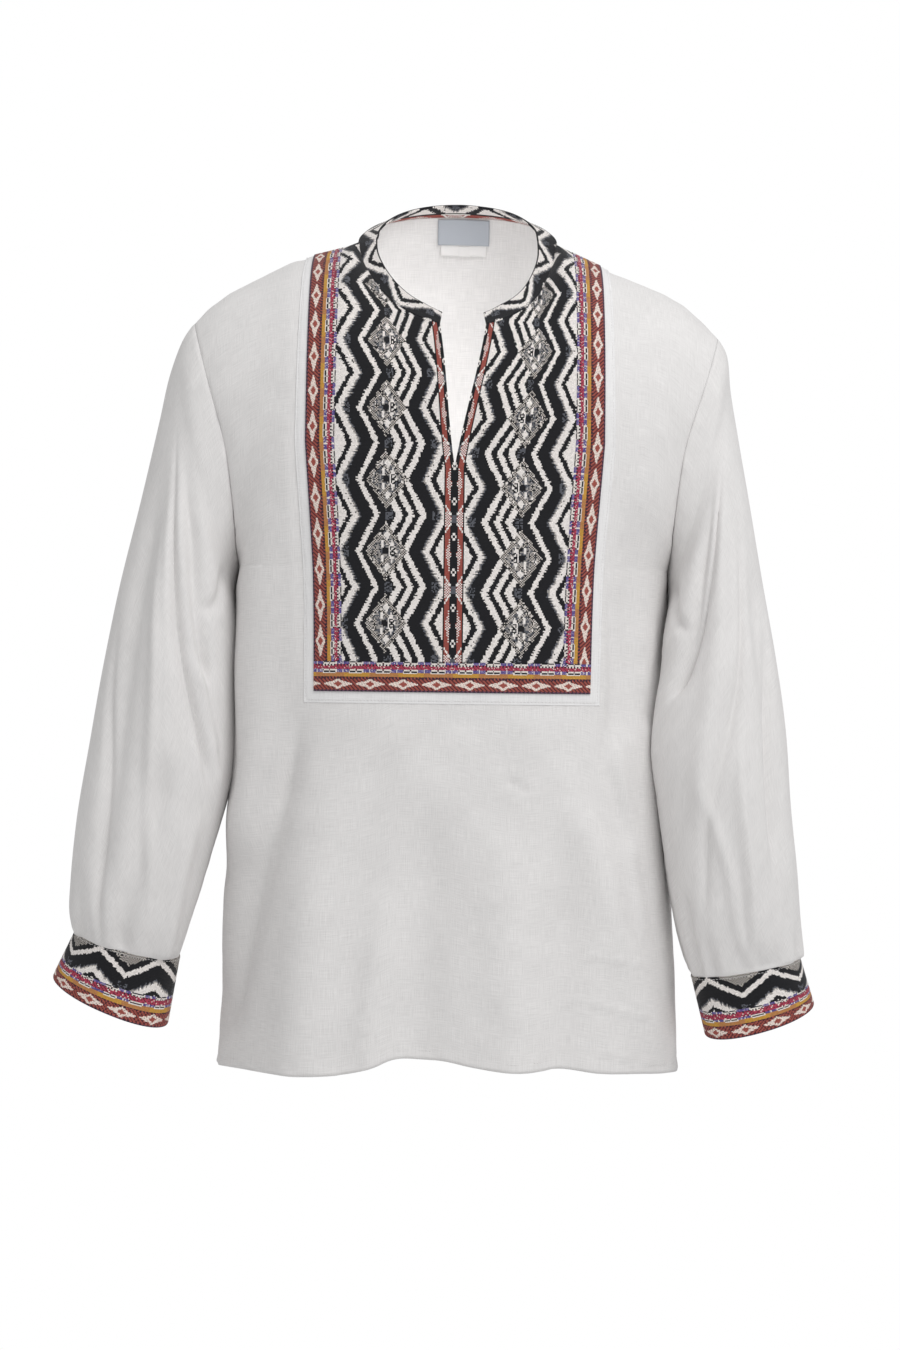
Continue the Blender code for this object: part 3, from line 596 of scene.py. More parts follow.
# Where the two halves of a panel are one cloth, down its centre line, they share the normals
for front in (True, False):
    left, right = halves[front, 1], halves[front, -1]
    shared = unit(left["normals"][:, 0] + right["normals"][:, 0])[left["closed"]]
    left["normals"][left["closed"], 0] = shared
    right["normals"][right["closed"], 0] = shared


def cloth(name, patches, material, lift=0.0, solid=0.0, rim=0.0):
    """One sewn piece from grids of (points, normals, flat u and v, colours of the cells).

    Points that fall together become one, and a cell with no area is left out. The open edge
    is turned in by rim, or a Solidify wall of solid is laid inside the whole piece.
    """
    grids, outs, flats, cells = zip(*patches)
    normals = np.concatenate([out.reshape(-1, 3) for out in outs])
    points = np.concatenate([grid.reshape(-1, 3) for grid in grids]) + normals * lift
    flat = np.concatenate([uv.reshape(-1, 2) for uv in flats])
    raw = []
    offset = 0
    for grid in grids:
        index = np.arange(grid[..., 0].size).reshape(grid.shape[:2]) + offset
        corners = [index[:-1, :-1], index[:-1, 1:], index[1:, 1:], index[1:, :-1]]
        faces = np.stack(corners, axis=-1).reshape(-1, 4)
        a, b, c, d = (points[faces[:, i]] for i in range(4))
        facing = (np.cross(c - a, d - b) * normals[faces[:, 0]]).sum()
        raw.append(faces if facing > 0 else faces[:, ::-1])
        offset += index.size
    raw = np.concatenate(raw)
    _, first, same = np.unique(
        np.round(points * 1e6).astype(np.int64), axis=0, return_index=True, return_inverse=True
    )
    same = same.reshape(-1)
    places = points[first]
    faces = same[raw]
    double = faces == np.roll(faces, -1, axis=1)
    crossed = (faces[:, 0] == faces[:, 2]) | (faces[:, 1] == faces[:, 3])
    kept = (double.sum(axis=1) < 2) & ~crossed
    used = ~double & kept[:, None]
    totals = used.sum(axis=1)[kept]
    corner = faces[used]
    corner_flat = flat[raw[used]]
    colours = None
    if cells[0] is not None:
        colours = np.concatenate([colour.reshape(-1, 3) for colour in cells])[kept]
    if rim:
        last = np.cumsum(totals) - 1
        after = np.arange(len(corner)) + 1
        after[last] = last - totals + 1
        many = len(places)
        edge = np.flatnonzero(
            ~np.isin(corner * many + corner[after], corner[after] * many + corner)
        )
        mean = np.stack([np.bincount(same, normals[:, i]) for i in range(3)], axis=1)
        places = np.concatenate([places, places - unit(mean) * rim])
        a, b = corner[edge], corner[after[edge]]
        turned = np.stack([b, a, a + many, b + many], axis=1)
        flat_a, flat_b = corner_flat[edge], corner_flat[after[edge]]
        turned_flat = np.stack([flat_b, flat_a, flat_a, flat_b], axis=1)
        owner = np.repeat(np.arange(len(totals)), totals)[edge]
        corner = np.concatenate([corner, turned.reshape(-1)])
        corner_flat = np.concatenate([corner_flat, turned_flat.reshape(-1, 2)])
        totals = np.concatenate([totals, np.full(len(edge), 4)])
        if colours is not None:
            colours = np.concatenate([colours, colours[owner]])
    wanted, corner = np.unique(corner, return_inverse=True)
    places = places[wanted]
    mesh = bpy.data.meshes.new(name)
    mesh.vertices.add(len(places))
    mesh.vertices.foreach_set("co", places.astype(np.float32).reshape(-1))
    mesh.loops.add(len(corner))
    mesh.loops.foreach_set("vertex_index", corner.astype(np.int32).reshape(-1))
    mesh.polygons.add(len(totals))
    mesh.polygons.foreach_set("loop_start", (np.cumsum(totals) - totals).astype(np.int32))
    mesh.update(calc_edges=True)
    layer = mesh.uv_layers.new(name="flat")
    layer.data.foreach_set("uv", corner_flat.astype(np.float32).reshape(-1))
    if colours is not None:
        woven = mesh.attributes.new("threads", "FLOAT_COLOR", "CORNER")
        rgba = np.concatenate([colours, np.ones((len(colours), 1))], axis=1)
        rgba = np.repeat(rgba, totals, axis=0).astype(np.float32)
        woven.data.foreach_set("color", rgba.reshape(-1))
    mesh.shade_smooth()
    mesh.materials.append(material)
    made = bpy.data.objects.new(name, mesh)
    scene.collection.objects.link(made)
    if solid:
        wall = made.modifiers.new("cloth", "SOLIDIFY")
        wall.thickness = solid
        wall.offset = -1
    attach(made, "root")
    return made


def grain(tree, across, along, detail):
    """Noise over the flat cloth, with about so many grains to the metre each way."""
    flat = add(tree, "UVMap", uv_map="flat").outputs["UV"]
    place = add(tree, "Mapping", {"Vector": flat, "Scale": (across, along, 1)}).outputs["Vector"]
    return add(tree, "TexNoise", {"Vector": place, "Scale": 1.0, "Detail": detail}).outputs["Fac"]


def ribbed(tree, pitch, distortion):
    """Waves up the flat cloth at a pitch: a wave texture at scale 1 has one in 0.314 m."""
    flat = add(tree, "UVMap", uv_map="flat").outputs["UV"]
    waves = {"Vector": flat, "Scale": 0.314 / pitch, "Distortion": distortion}
    return add(tree, "TexWave", waves, bands_direction="Y").outputs["Fac"]


def finish(tree, colour, tone, height, strength, distance):
    """The shader's colour is this one times a tone, and a height in the cloth its relief."""
    shader = tree.nodes["Principled BSDF"]
    tinted = add(tree, "VectorMath", {0: colour, "Scale": tone}, operation="SCALE")
    tree.links.new(tinted.outputs[0], shader.inputs["Base Color"])
    bump = add(tree, "Bump", {"Height": height, "Strength": strength, "Distance": distance})
    tree.links.new(bump.outputs["Normal"], shader.inputs["Normal"])


def white_linen(name, colour):
    """Plain weave of linen and cotton: threads about 0.5 mm apart, with slubs, no shine.

    The threads are drawn about 1 mm apart, because the real ones are too fine to show.
    """
    made, tree = new_material(name, {
        "Roughness": 0.92, "Specular IOR Level": 0.2, "Sheen Weight": 0.15, "Sheen Roughness": 0.5,
    })
    weft, warp = grain(tree, 60, 2100, 2.0), grain(tree, 2100, 60, 2.0)
    threads = add(tree, "Math", {0: weft, 1: warp}, operation="ADD").outputs[0]
    weft_slub, warp_slub = (
        add(tree, "MapRange", {"Value": slub, "From Min": 0.62, "From Max": 0.80}).outputs["Result"]
        for slub in (grain(tree, 35, 900, 1.0), grain(tree, 900, 35, 1.0))
    )
    thick = add(tree, "Math", {0: weft_slub, 1: warp_slub}, operation="ADD").outputs[0]
    tone = add(tree, "MapRange", {
        "Value": threads, "From Min": 0.65, "From Max": 1.35, "To Min": 0.86, "To Max": 1.06,
    }).outputs["Result"]
    tone = add(tree, "Math", {0: thick, 1: 0.022, 2: tone}, operation="MULTIPLY_ADD").outputs[0]
    cloud = grain(tree, 26, 26, 4.0)
    patch = add(tree, "MapRange", {
        "Value": cloud, "From Min": 0.3, "From Max": 0.7, "To Min": 0.975, "To Max": 1.02,
    }).outputs["Result"]
    tone = add(tree, "Math", {0: tone, 1: patch}, operation="MULTIPLY").outputs[0]
    height = add(tree, "Math", {0: thick, 1: 0.8, 2: threads}, operation="MULTIPLY_ADD").outputs[0]
    finish(tree, tuple(linear(colour)), tone, height, 0.35, 0.0004)
    return made


linen = white_linen("white_linen_plain_weave", LINEN)
for front, name in ((True, "front"), (False, "back")):
    patches = []
    for side in SIDES:
        half = halves[front, side]
        across, up = half["away"], half["up"]
        shaping = seam_pull(half["gap"], up, 31)
        shaping += seam_pull(up[-1:] - up, across, 37) * (PANELS[front]["columns"] >= AT_NECK)
        turned_up = ease((HEM_DEPTH - up) / 0.0009 + 0.5)
        pulled = np.exp(-(((up - HEM_DEPTH) / 0.0016) ** 2))
        wavy = lattice(across * side, up, 41, 0.008) * np.exp(-((up / 0.016) ** 2))
        shaping += 0.0005 * (turned_up - pulled + wavy)
        points = half["grid"] + half["normals"] * shaping[..., None]
        points[~half["closed"], 0, 0] += side * SLIT_BACK
        flat = flat_grid(across * side, up)
        patches.append((points, half["normals"], flat, None))
    made = cloth(f"{name}_cloth", patches, linen, FRONT_LIFT, solid=CLOTH)
    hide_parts(name)

# Sleeves
# Long straight sleeves of the same white linen, each one piece with its seam under the arm,
# sewn into the armhole and gathered slightly into its cuff.
SLEEVE_NAMES = "outer_x outer_z inner_x inner_z depth middle_y dip"
SLEEVES = {
    "right": table(SLEEVE_NAMES, [
        (256, -100, 204, -328, 76.5, 0, 0),
        (267.2, -129, 204.2, -342, 76, 0, 0),
        (277.5, -174.6, 202, -360, 74.5, -7, 0),
        (294.4, -250, 200, -388, 72, -14, 0),
        (311, -325.5, 200, -420, 69.5, -22, 20),
        (323.8, -401, 200, -462, 66.5, -27, 40),
        (334.6, -476, 204, -510, 64.5, -30, 60),
        (346, -551.6, 218, -560, 62, -32, 80),
        (350.8, -608, 233, -610, 55, -31, 100),
        (351.3, -635, 243, -647, 48, -28, 120),
        (347.8, -655, 253, -677.5, 40, -22, 140),
        (367.7, -697, 263.4, -739, 42, -20, 240),
    ], 1000),
    "left": table(SLEEVE_NAMES, [
        (252.5, -108, 204, -328, 76.5, 0, 0),
        (256, -140, 204.2, -342, 76, -2, 0),
        (262.4, -183, 201, -358, 74.5, -14, 0),
        (274, -250, 196, -380, 72, -26, 0),
        (285.5, -318, 194, -405, 69.5, -38, 20),
        (297.8, -390, 188, -435, 67, -50, 30),
        (306.6, -455, 183, -475, 65, -56, 40),
        (311.8, -525, 190, -525, 62, -60, 50),
        (318.5, -590, 200, -590, 56, -60, 60),
        (321.8, -640, 212, -645, 49, -57, 80),
        (323.5, -669, 226.5, -686.5, 40, -53, 100),
        (337, -711, 240, -740, 42, -50, 220),
    ], 1000),
}
# Folds, in thousandths: the turn round the sleeve (0 outer, 250 front, 500 inner) and the
# way down it of a line's top and of its foot, its width in turns, and its rise in metres
SLEEVE_FOLDS = {
    "right": [
        (220, 80, 330, 420, 33, -8),
        (190, 120, 270, 660, 30, 7.5),
        (130, 160, 170, 860, 33, -7.5),
        (280, 550, 240, 1000, 28, -6.5),
        (360, 700, 370, 1000, 26, 5.5),
        (780, 100, 700, 700, 33, -8),
        (640, 350, 800, 950, 33, 7),
    ],
    "left": [
        (240, 100, 360, 450, 33, -8.5),
        (200, 140, 310, 720, 30, 7),
        (120, 280, 120, 780, 30, -6.5),
        (220, 550, 200, 980, 30, 5),
        (400, 840, 410, 1000, 20, -5),
        (800, 100, 720, 750, 33, -8),
        (660, 300, 780, 900, 33, 7),
    ],
}
SLEEVE_CREASES = {
    "right": [
        (150, 100, 365, 640, 12, -8.5),
        (200, 140, 410, 640, 16, 5),
        (80, 420, 190, 980, 13, -5.2),
        (170, 220, 280, 860, 13, 5),
        (310, 300, 400, 620, 14, -4.6),
        (400, 50, 330, 280, 14, -4.6),
        (600, 60, 700, 400, 16, -4.6),
        (900, 200, 800, 700, 14, -4.4),
        (680, 550, 720, 980, 13, 4.4),
    ],
    "left": [
        (160, 120, 370, 460, 13, -5.8),
        (120, 200, 330, 860, 13, -5),
        (80, 360, 150, 800, 13, -4.2),
        (200, 500, 230, 970, 14, 3.6),
        (300, 620, 240, 980, 13, 4),
        (420, 50, 350, 300, 14, -4.6),
        (610, 60, 690, 420, 16, -4.6),
        (880, 180, 790, 740, 14, -4.4),
        (690, 520, 740, 980, 13, 4.4),
    ],
}
# The least distance from the body's side, and the arm's middle radius
CLEAR = 0.0026
ARM_RADIUS = 0.07
# The slack's rise, and the gathers above the cuff: their rise, their width and their reach
SLEEVE_SLACK = 0.0014
GATHER = 0.0034
GATHER_WIDE = 0.0105
GATHER_REACH = 0.050
SLEEVE_ROWS = spread((6, 128, 14), (0, 0.018, 0.93, 1))


def ring_turns(ring):
    """How far round the armhole each of its points lies: 0 at the tip, half at the underarm."""
    up = np.where(ring[:, 2] > YOKE, ring[0, 2] - YOKE, YOKE - UNDERARM)
    deep = np.where(ring[:, 1] < 0, ARMHOLE_FRONT, ARMHOLE_BACK)
    turns = np.arctan2(-ring[:, 1] / deep, (ring[:, 2] - YOKE) / up) / (2 * np.pi)
    turns = np.where(turns < -1e-9, turns + 1, turns)
    turns[-1] = 1
    return turns


def sleeve_sections(which, turns):
    """Rings from the table: a superellipse round the middle of the outer and inner edge."""
    rows = SLEEVES[which]
    outer = np.stack([rows["outer_x"], rows["middle_y"], rows["outer_z"]], axis=1)
    inner = np.stack([rows["inner_x"], rows["middle_y"], rows["inner_z"]], axis=1)
    forward = np.stack([0 * rows["dip"], -np.cos(rows["dip"]), -np.sin(rows["dip"])], axis=1)
    sine, cosine = oval(turns * 2 * np.pi, 2.15)
    reach = (outer - inner)[:, None] / 2 * cosine[None, :, None]
    depth = rows["depth"][:, None, None] * forward[:, None] * sine[None, :, None]
    return (outer + inner)[:, None] / 2 + reach + depth


def clear_of_body(grid):
    """The sleeve's points pushed outwards where they would touch the body."""
    x, y, z = grid[..., 0], grid[..., 1], grid[..., 2]
    exponent = read(BODY, "level", "exponent", z)
    deep = np.where(y < 0, read(BODY, "level", "front", z), read(BODY, "level", "back", z))
    inside = np.clip(1 - (np.abs(y) / (deep + CLEAR)) ** exponent, 0, 1)
    wall = (read(BODY, "level", "half", z) + CLEAR) * inside ** (1 / exponent)
    below = ease((UNDERARM - 0.005 - z) / 0.02)
    return np.stack([np.where(wall > x, x + (wall - x) * below, x), y, z], axis=-1)


for which, side in (("left", 1), ("right", -1)):
    front, back = halves[True, side], halves[False, side]
    over = front["grid"][:, -1, 2] >= UNDERARM - 1e-6
    behind = back["grid"][:, -1, 2] >= UNDERARM - 1e-6
    ring = np.concatenate([front["grid"][over, -1][::-1], back["grid"][behind, -1][1:]])
    seam = np.concatenate([front["normals"][over, -1][::-1], back["normals"][behind, -1][1:]])
    ring, seam = ring * (side, 1, 1), seam * (side, 1, 1)
    turns = ring_turns(ring)
    rings = np.concatenate([ring[None], sleeve_sections(which, turns)[:-1]])
    run = np.insert(np.cumsum(np.linalg.norm(np.diff(rings.mean(axis=1), axis=0), axis=1)), 0, 0)
    tube = through(run / run[-1], rings, SLEEVE_ROWS)
    tube[:, -1] = tube[:, 0]
    normals = outward(tube, tube.mean(axis=1, keepdims=True), ring=True)
    rise = 0
    for folds, sway in ((SLEEVE_FOLDS[which], 0.0), (SLEEVE_CREASES[which], 0.006)):
        rise = rise + fold_rise(turns, SLEEVE_ROWS[:, None], folds, sway, (8, 1.7), (1.1, 5), True)
    to_cuff = (1 - SLEEVE_ROWS)[:, None] * run[-1]
    from_ring = SLEEVE_ROWS[:, None] * run[-1]
    angle = turns[None] * 2 * np.pi
    slack = ripple(np.cos(angle) * ARM_RADIUS, -from_ring, 9 + side, SLEEVE_SLACK)
    slack = slack + ripple(np.sin(angle) * ARM_RADIUS, -from_ring, 19 + side, SLEEVE_SLACK)
    gather = lattice(turns[None] * 0.30 + 0 * to_cuff, to_cuff * 0.12, 29 + side, GATHER_WIDE)
    gather = GATHER * gather * np.exp(-((to_cuff / GATHER_REACH) ** 1.5))
    loose = ease(from_ring / 0.02) * ease(to_cuff / 0.006)
    tube = tube + normals * ((rise + slack + gather) * loose)[..., None]
    tube[:, -1] = tube[:, 0]
    tube = clear_of_body(tube)
    normals = outward(tube, tube.mean(axis=1, keepdims=True), ring=True)
    seam[-1] = seam[0]
    normals[0] = seam
    flat_down = runs(tube)
    round_run = runs(tube, axis=1)
    shaping = seam_pull(flat_down, round_run, 43)
    shaping += seam_pull(np.abs(turns - 0.5)[None] * round_run[:, -1:], flat_down, 47)
    tube = tube + normals * shaping[..., None]
    flat = flat_grid(round_run - round_run[:, -1:] / 2, -flat_down)
    mirror = np.array((side, 1, 1))
    patch = (tube * mirror, normals * mirror, flat, None)
    made = cloth(f"sleeve_{which}_cloth", [patch], linen, FRONT_LIFT, solid=CLOTH)
    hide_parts(f"sleeve_{which}")

# Base panel
# A shaped panel of the white linen laid on the front under the bib. It shows as a margin of
# 11 mm round the ribbons, turned under at its edge and stitched down.
BASE_LIFT = 0.0013
# The stitched line's distance in from the edge, and the depth of its dent
EDGE_STITCH = 0.0018
DENT = 0.00035
# Whiter than the shirt, because two layers of the thin cloth let less light through
double_linen = white_linen("white_linen_two_layers", "#F4F3F3")


def on_front(side, q, targets, limit, level, steps):
    """Part of the front drawn again, on lines of equal q and of equal height in the cloth.

    Each row is read at the target values of q, none past the row's limit; then each line is
    read at the given lengths above the level, none past its end.
    """
    half = halves[True, side]
    both = np.concatenate([half["grid"], half["normals"]], axis=-1)
    wanted = np.minimum(targets[None], limit[:, None])
    lines = np.stack([along_line(*row) for row in zip(both, q, wanted)], axis=1)
    made = []
    for line in lines:
        run = runs(line[:, :3])
        start = np.interp(level, line[:, 2], run)
        made.append(along_line(line, run, np.minimum(start + steps, run[-1])))
    made = np.stack(made, axis=1)
    return made[..., :3], unit(made[..., 3:]), flat_grid(targets * side, steps[:, None])


def front_map(side):
    """The front's distances from its centre, and those of each row's slit, bib and base edge."""
    away = halves[True, side]["away"]
    columns = PANELS[True]["columns"]
    edge, margin = (away[:, np.searchsorted(columns, at)] for at in (AT_BIB, AT_BASE))
    return away, away[:, 0], edge, margin


# The lines that the last section's stitches follow: points and normals for each seam
sewn = {"base": [], "hem": [], "collar": [], "cuffs": []}
patches = []
for side in SIDES:
    away, slit, edge, margin = front_map(side)
    q = (away - slit[:, None]) / (margin - slit)[:, None]
    targets = np.concatenate([np.linspace(0, 0.965, 34), [0.972, 0.978, 0.984, 0.990, 0.995, 1]])
    steps = np.concatenate([np.linspace(0, 0.0045, 6), np.linspace(0.008, 0.48, 110)])
    full = np.ones(len(q))
    level = RIBBON_BOTTOM - BASE_MARGIN
    points, normals, flat = on_front(side, q, targets, full, level, steps)
    inset = np.minimum((1 - targets[None]) * 0.14, steps[:, None])
    dent = np.exp(-(((inset - EDGE_STITCH) / 0.0009) ** 2))
    pucker = lattice(flat[..., 1] + flat[..., 0], inset, 53, 0.007)
    shaping = -DENT * dent + 0.0003 * pucker * np.exp(-((inset / 0.006) ** 2))
    flat[..., 0] *= 0.139
    points = points + normals * shaping[..., None]
    points[points[:, 0, 2] > SLIT_BOTTOM + 0.0005, 0, 0] += side * SLIT_BACK
    patches.append((points, normals, flat, None))
    sewn["base"] += [(points[3:, 36], normals[3:, 36]), (points[3, :37], normals[3, :37])]
made = cloth("bib_base_cloth", patches, double_linen, BASE_LIFT, solid=0.0005)
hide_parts("bib_base")

# Bib
# A cloth woven in black and cream, with zigzags, diamonds of checked cells and a centre band
# of red; slit with the front and sewn down under the ribbons and the collar.
BIB_CELL = 1.15
BIB_LIFT = 0.0022
# More than the length from the bib's foot up to the top edge, past which no line is drawn
BIB_REACH = 0.46
# Beside the slit the pattern is pressed outwards, and this far out it is not
PATTERN_STILL = 0.150
# The zigzag's swing, and the edges of its stripes out from the centre, in millimetres
SWING = 17.0
STRIPES = (0, 5.0, 9.0, 24.5, 30.4, 35.8, 41.3, 46.2, 52.3, 67.2, 72.2, 87.6, 92.4, 97.2)
BIB_COLOURS = ("#1A1A1E", "#F2ECE8", "#9C4F46", "#5C5E65", "#A6A19D", "#CFC8C1")
# The charts' codes: 0 black, 1 cream, 2 red, 3 and 4 greys, 5 pale
BIB_PALETTE = np.stack([linear(code) for code in BIB_COLOURS])
# The level of the lowest outward point above the bib's foot, and the zigzag's length, in mm,
# on each side and in the centre band
REPEATS = {-1: (35.0, 65.4), 1: (31.5, 63.7)}
BAND_REPEAT = (33.2, 64.5)
# As many rows of threads are drawn uneven, each in its own way, before they come again
UNEVEN_ROWS = 997


def checked(u, v):
    """1 and 0 by turns from cell to cell, as in a chequerboard."""
    return (np.floor(u / BIB_CELL) + np.floor(v / BIB_CELL)).astype(int) % 2


def painted(code, *figures):
    """Colour codes with figures laid over them in turn, each given as its cells and its code."""
    for cells, colour in figures:
        code = np.where(cells, colour, code)
    return code


def lozenge(across, along, wide, high):
    """Under 1 inside a lozenge of these half sizes about nought."""
    return np.abs(across) / wide + np.abs(along) / high


def uneven(colours, seed, amount):
    """Cells a little lighter and darker than their colour, as threads are."""
    draw = np.random.default_rng(seed)
    shade = 1 + amount * draw.normal(0, 1, colours.shape[:-1])
    return colours * np.clip(shade, 0.6, 1.5)[..., None]


def fading(code, inside, row, draw):
    """Codes with a strip that fades over four millimetres, from cream by two greys to black."""
    by_row = draw.normal(0, 0.11, UNEVEN_ROWS)[row % UNEVEN_ROWS]
    tone = 1 - inside / 4.6 + by_row + draw.normal(0, 0.06, row.shape)
    feather = np.select([tone > 0.72, tone > 0.48, tone > 0.24], [1, 4, 3], 0)
    return painted(code, ((inside > -0.4) & (inside < 5.4), feather))


def diamond(inward, up, draw):
    """Codes of a diamond, -1 outside it: a ring of checks round a grey ground with its figures.

    The figures are a black dot, two white flowers, white strokes, and a white field that
    holds two rings; inward is measured towards the slit and up from the middle.
    """
    high = np.abs(up)
    size = lozenge(inward, up, np.where(inward > 0, 20.0, 18.7), 27.0)
    chance = draw.uniform(0, 1, up.shape)
    checks = painted(5 * checked(inward, up), (chance > 0.92, 1), (chance < 0.12, 0))
    ring = np.hypot(inward - 6.0, high - 2.2)
    return painted(
        np.select([chance < 0.45, chance < 0.85], [3, 4], 0),
        (np.abs(high + inward - 9.0) < 2.4, checks),
        (lozenge(inward - 5.6, up, 4.0, 10.5) < 1, 1),
        (ring < 2.4, 0),
        (ring < 1.0, 1),
        ((np.abs(inward + 2.9) < 1.2) & (np.abs(high - 6.6) < 3.0), 1),
        (lozenge(inward - 1.4, high - 14.6, 3.2, 4.6) < 1, 1),
        (np.hypot(inward, high) < 3.2, 0),
        ((inward < -7) & (high < 3.6) & (inward > -11.5), checks),
        (size > 0.74, checks),
        (size >= 1, -1),
    )


def bib_chart(s, v, start, period, band_start, band_period):
    """Colour codes of the bib's cloth, s outward from its centre and v up it, in millimetres.

    A wave runs up the cloth, 1 at the outward points and 0 half-way between. The stripes are
    steps of s less the swing times the wave; diamonds, nodes and patches lie over them.
    """
    s, v = np.broadcast_arrays(s, v)
    draw = np.random.default_rng(11)
    row = np.floor(v / BIB_CELL).astype(int)
    place = (v - start) / period % 1 * 2 - 1
    wave = np.abs(place)
    from_out = (1 - wave) * period / 2
    from_in = wave * period / 2
    # Two rows step together, and each stripe's edge is a little uneven
    pair = (np.floor(row / 2) + 0.5) * 2 * BIB_CELL
    shift = s - SWING * np.abs((pair - start) / period % 1 * 2 - 1)
    count = np.zeros(s.shape, int)
    for edge in STRIPES:
        count += shift > edge + draw.normal(0, 0.45, UNEVEN_ROWS)[row % UNEVEN_ROWS]
    code = 1 - count % 2
    for edge, way in ((9.0, 1), (87.6, -1)):
        code = fading(code, (shift - edge) * way, row, draw)
    shape = diamond(61.5 - s, np.where(place > 0, 1, -1) * from_out, draw)
    code = painted(code, (shape >= 0, shape))
    fleck = np.where(draw.uniform(0, 1, s.shape) < 0.6, 3, 0)
    for middle, level, wide, high in (
        (58.5, from_in, 3.4, 4.6), (16.4, from_in, 2.8, 4.3), (97.5, from_out, 2.6, 4.6),
    ):
        code = painted(code, ((np.abs(s - middle) < wide) & (level < high), fleck))
    # The centre band: a black strip with white lozenges, red with cream dots, a black line
    wave = np.abs((v - band_start) / band_period % 1 * 2 - 1)
    from_in = wave * band_period / 2
    dotted = (s - 2.5 < 5.0 * (wave - 0.35) / 0.65) | (from_in < 6.5)
    white = lozenge(s, (wave - 0.5) * band_period / 2, 2.6, 4.6)
    band = painted(
        np.where(s < 7.9, 2, 0),
        ((s < 7.9) & dotted & (checked(s, v) == 1), 1),
        (s < 2.5 + 1.5 * np.sin(np.pi * wave), 0),
        ((s > 7.5) & (s < 8.6) & (wave < 0.4), 1),
        ((white < 1) & (white > 0.42), 1),
        ((np.abs(from_in - s * 1.5) < 1.1) & (s < 8.6), 1),
        ((s < 1.9) & (from_in < 3.0), 3),
    )
    return np.where(s < 9.5, band, code)


def woven_cloth(name, pitch, rough):
    """Patterned cloth: the threads' colours lie in its cells; ribs and floats give relief."""
    numbers = {"Roughness": rough, "Specular IOR Level": 0.3, "Sheen Weight": 0.1}
    made, tree = new_material(name, numbers)
    threads = add(tree, "Attribute", attribute_name="threads", attribute_type="GEOMETRY")
    fuzz = grain(tree, 2600, 900, 2.0)
    tone = add(tree, "MapRange", {
        "Value": fuzz, "From Min": 0.3, "From Max": 0.7, "To Min": 0.80, "To Max": 1.16,
    }).outputs["Result"]
    ribs = ribbed(tree, pitch, 0.6)
    height = add(tree, "Math", {0: fuzz, 1: 0.9, 2: ribs}, operation="MULTIPLY_ADD").outputs[0]
    finish(tree, threads.outputs["Color"], tone, height, 0.5, 0.0005)
    return made


def middles(edges):
    """The middle between each two neighbours: half their sum."""
    return (edges[1:] + edges[:-1]) / 2


patterned = woven_cloth("jacquard_black_and_cream", 0.0012, 0.88)
patches = []
for side in SIDES:
    away, slit, edge, _ = front_map(side)
    narrowing = 1 - slit / PATTERN_STILL
    q = (away - slit[:, None]) / narrowing[:, None]
    targets = np.arange(0, 0.1125, BIB_CELL / 1000)
    steps = np.arange(0, BIB_REACH, BIB_CELL / 1000)
    limit = (edge - slit) / narrowing
    points, normals, flat = on_front(side, q, targets, limit, RIBBON_BOTTOM + RIBBON, steps)
    start, period = REPEATS[side]
    s, v = middles(targets)[None] * 1000, middles(steps)[:, None] * 1000
    code = bib_chart(s, v, start, period, *BAND_REPEAT)
    patches.append((points, normals, flat, uneven(BIB_PALETTE[code], 61 + side, 0.07)))
made = cloth("bib_cloth", patches, patterned, BIB_LIFT, rim=0.0018)
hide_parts("bib")

# Border ribbons
# Woven ribbons 27 mm wide, red-brown with cream diamonds, ochre, pink and purple; one down
# each side of the bib and one across its foot, laid over its edge and stitched down.
RIBBON_CELL = 0.75
RIBBON_LIFT = 0.0026
# Where one band ends and the next begins, in millimetres in from the outer edge
RIBBON_BANDS = (1.6, 11.6, 13.4, 17.0, 18.6, 20.0, 23.5, 24.9, 26.4)
RIBBON_COLOURS = (
    "#3A2A38", "#A4544A", "#F4E4DA", "#CC9944", "#BE8450", "#EDE6E0", "#5C5190", "#B24058",
    "#23212B", "#4E262D", "#6E4C62", "#8F84AC", "#C6ADA3",
)
# The chart's codes: 0 dark plum, 1 red-brown, 2 cream, 3 ochre, 4 tan, 5 white, 6 purple,
# 7 crimson, 8 black, 9 dark red, 10 mauve, 11 lilac, 12 pale pink
RIBBON_PALETTE = np.stack([linear(code) for code in RIBBON_COLOURS])
# The distance from diamond to diamond and the length of a block, in millimetres
DIAMOND_PITCH = 32.6
BLOCK = 12.4
# Half the width of the cream diamonds at each distance from their middle
DIAMOND_STEPS = (0, 1.5, 3.0, 4.5, 7.5, 10.5, 13.8)
DIAMOND_HALVES = (4.8, 4.3, 3.4, 2.6, 2.2, 1.3, 0.7)


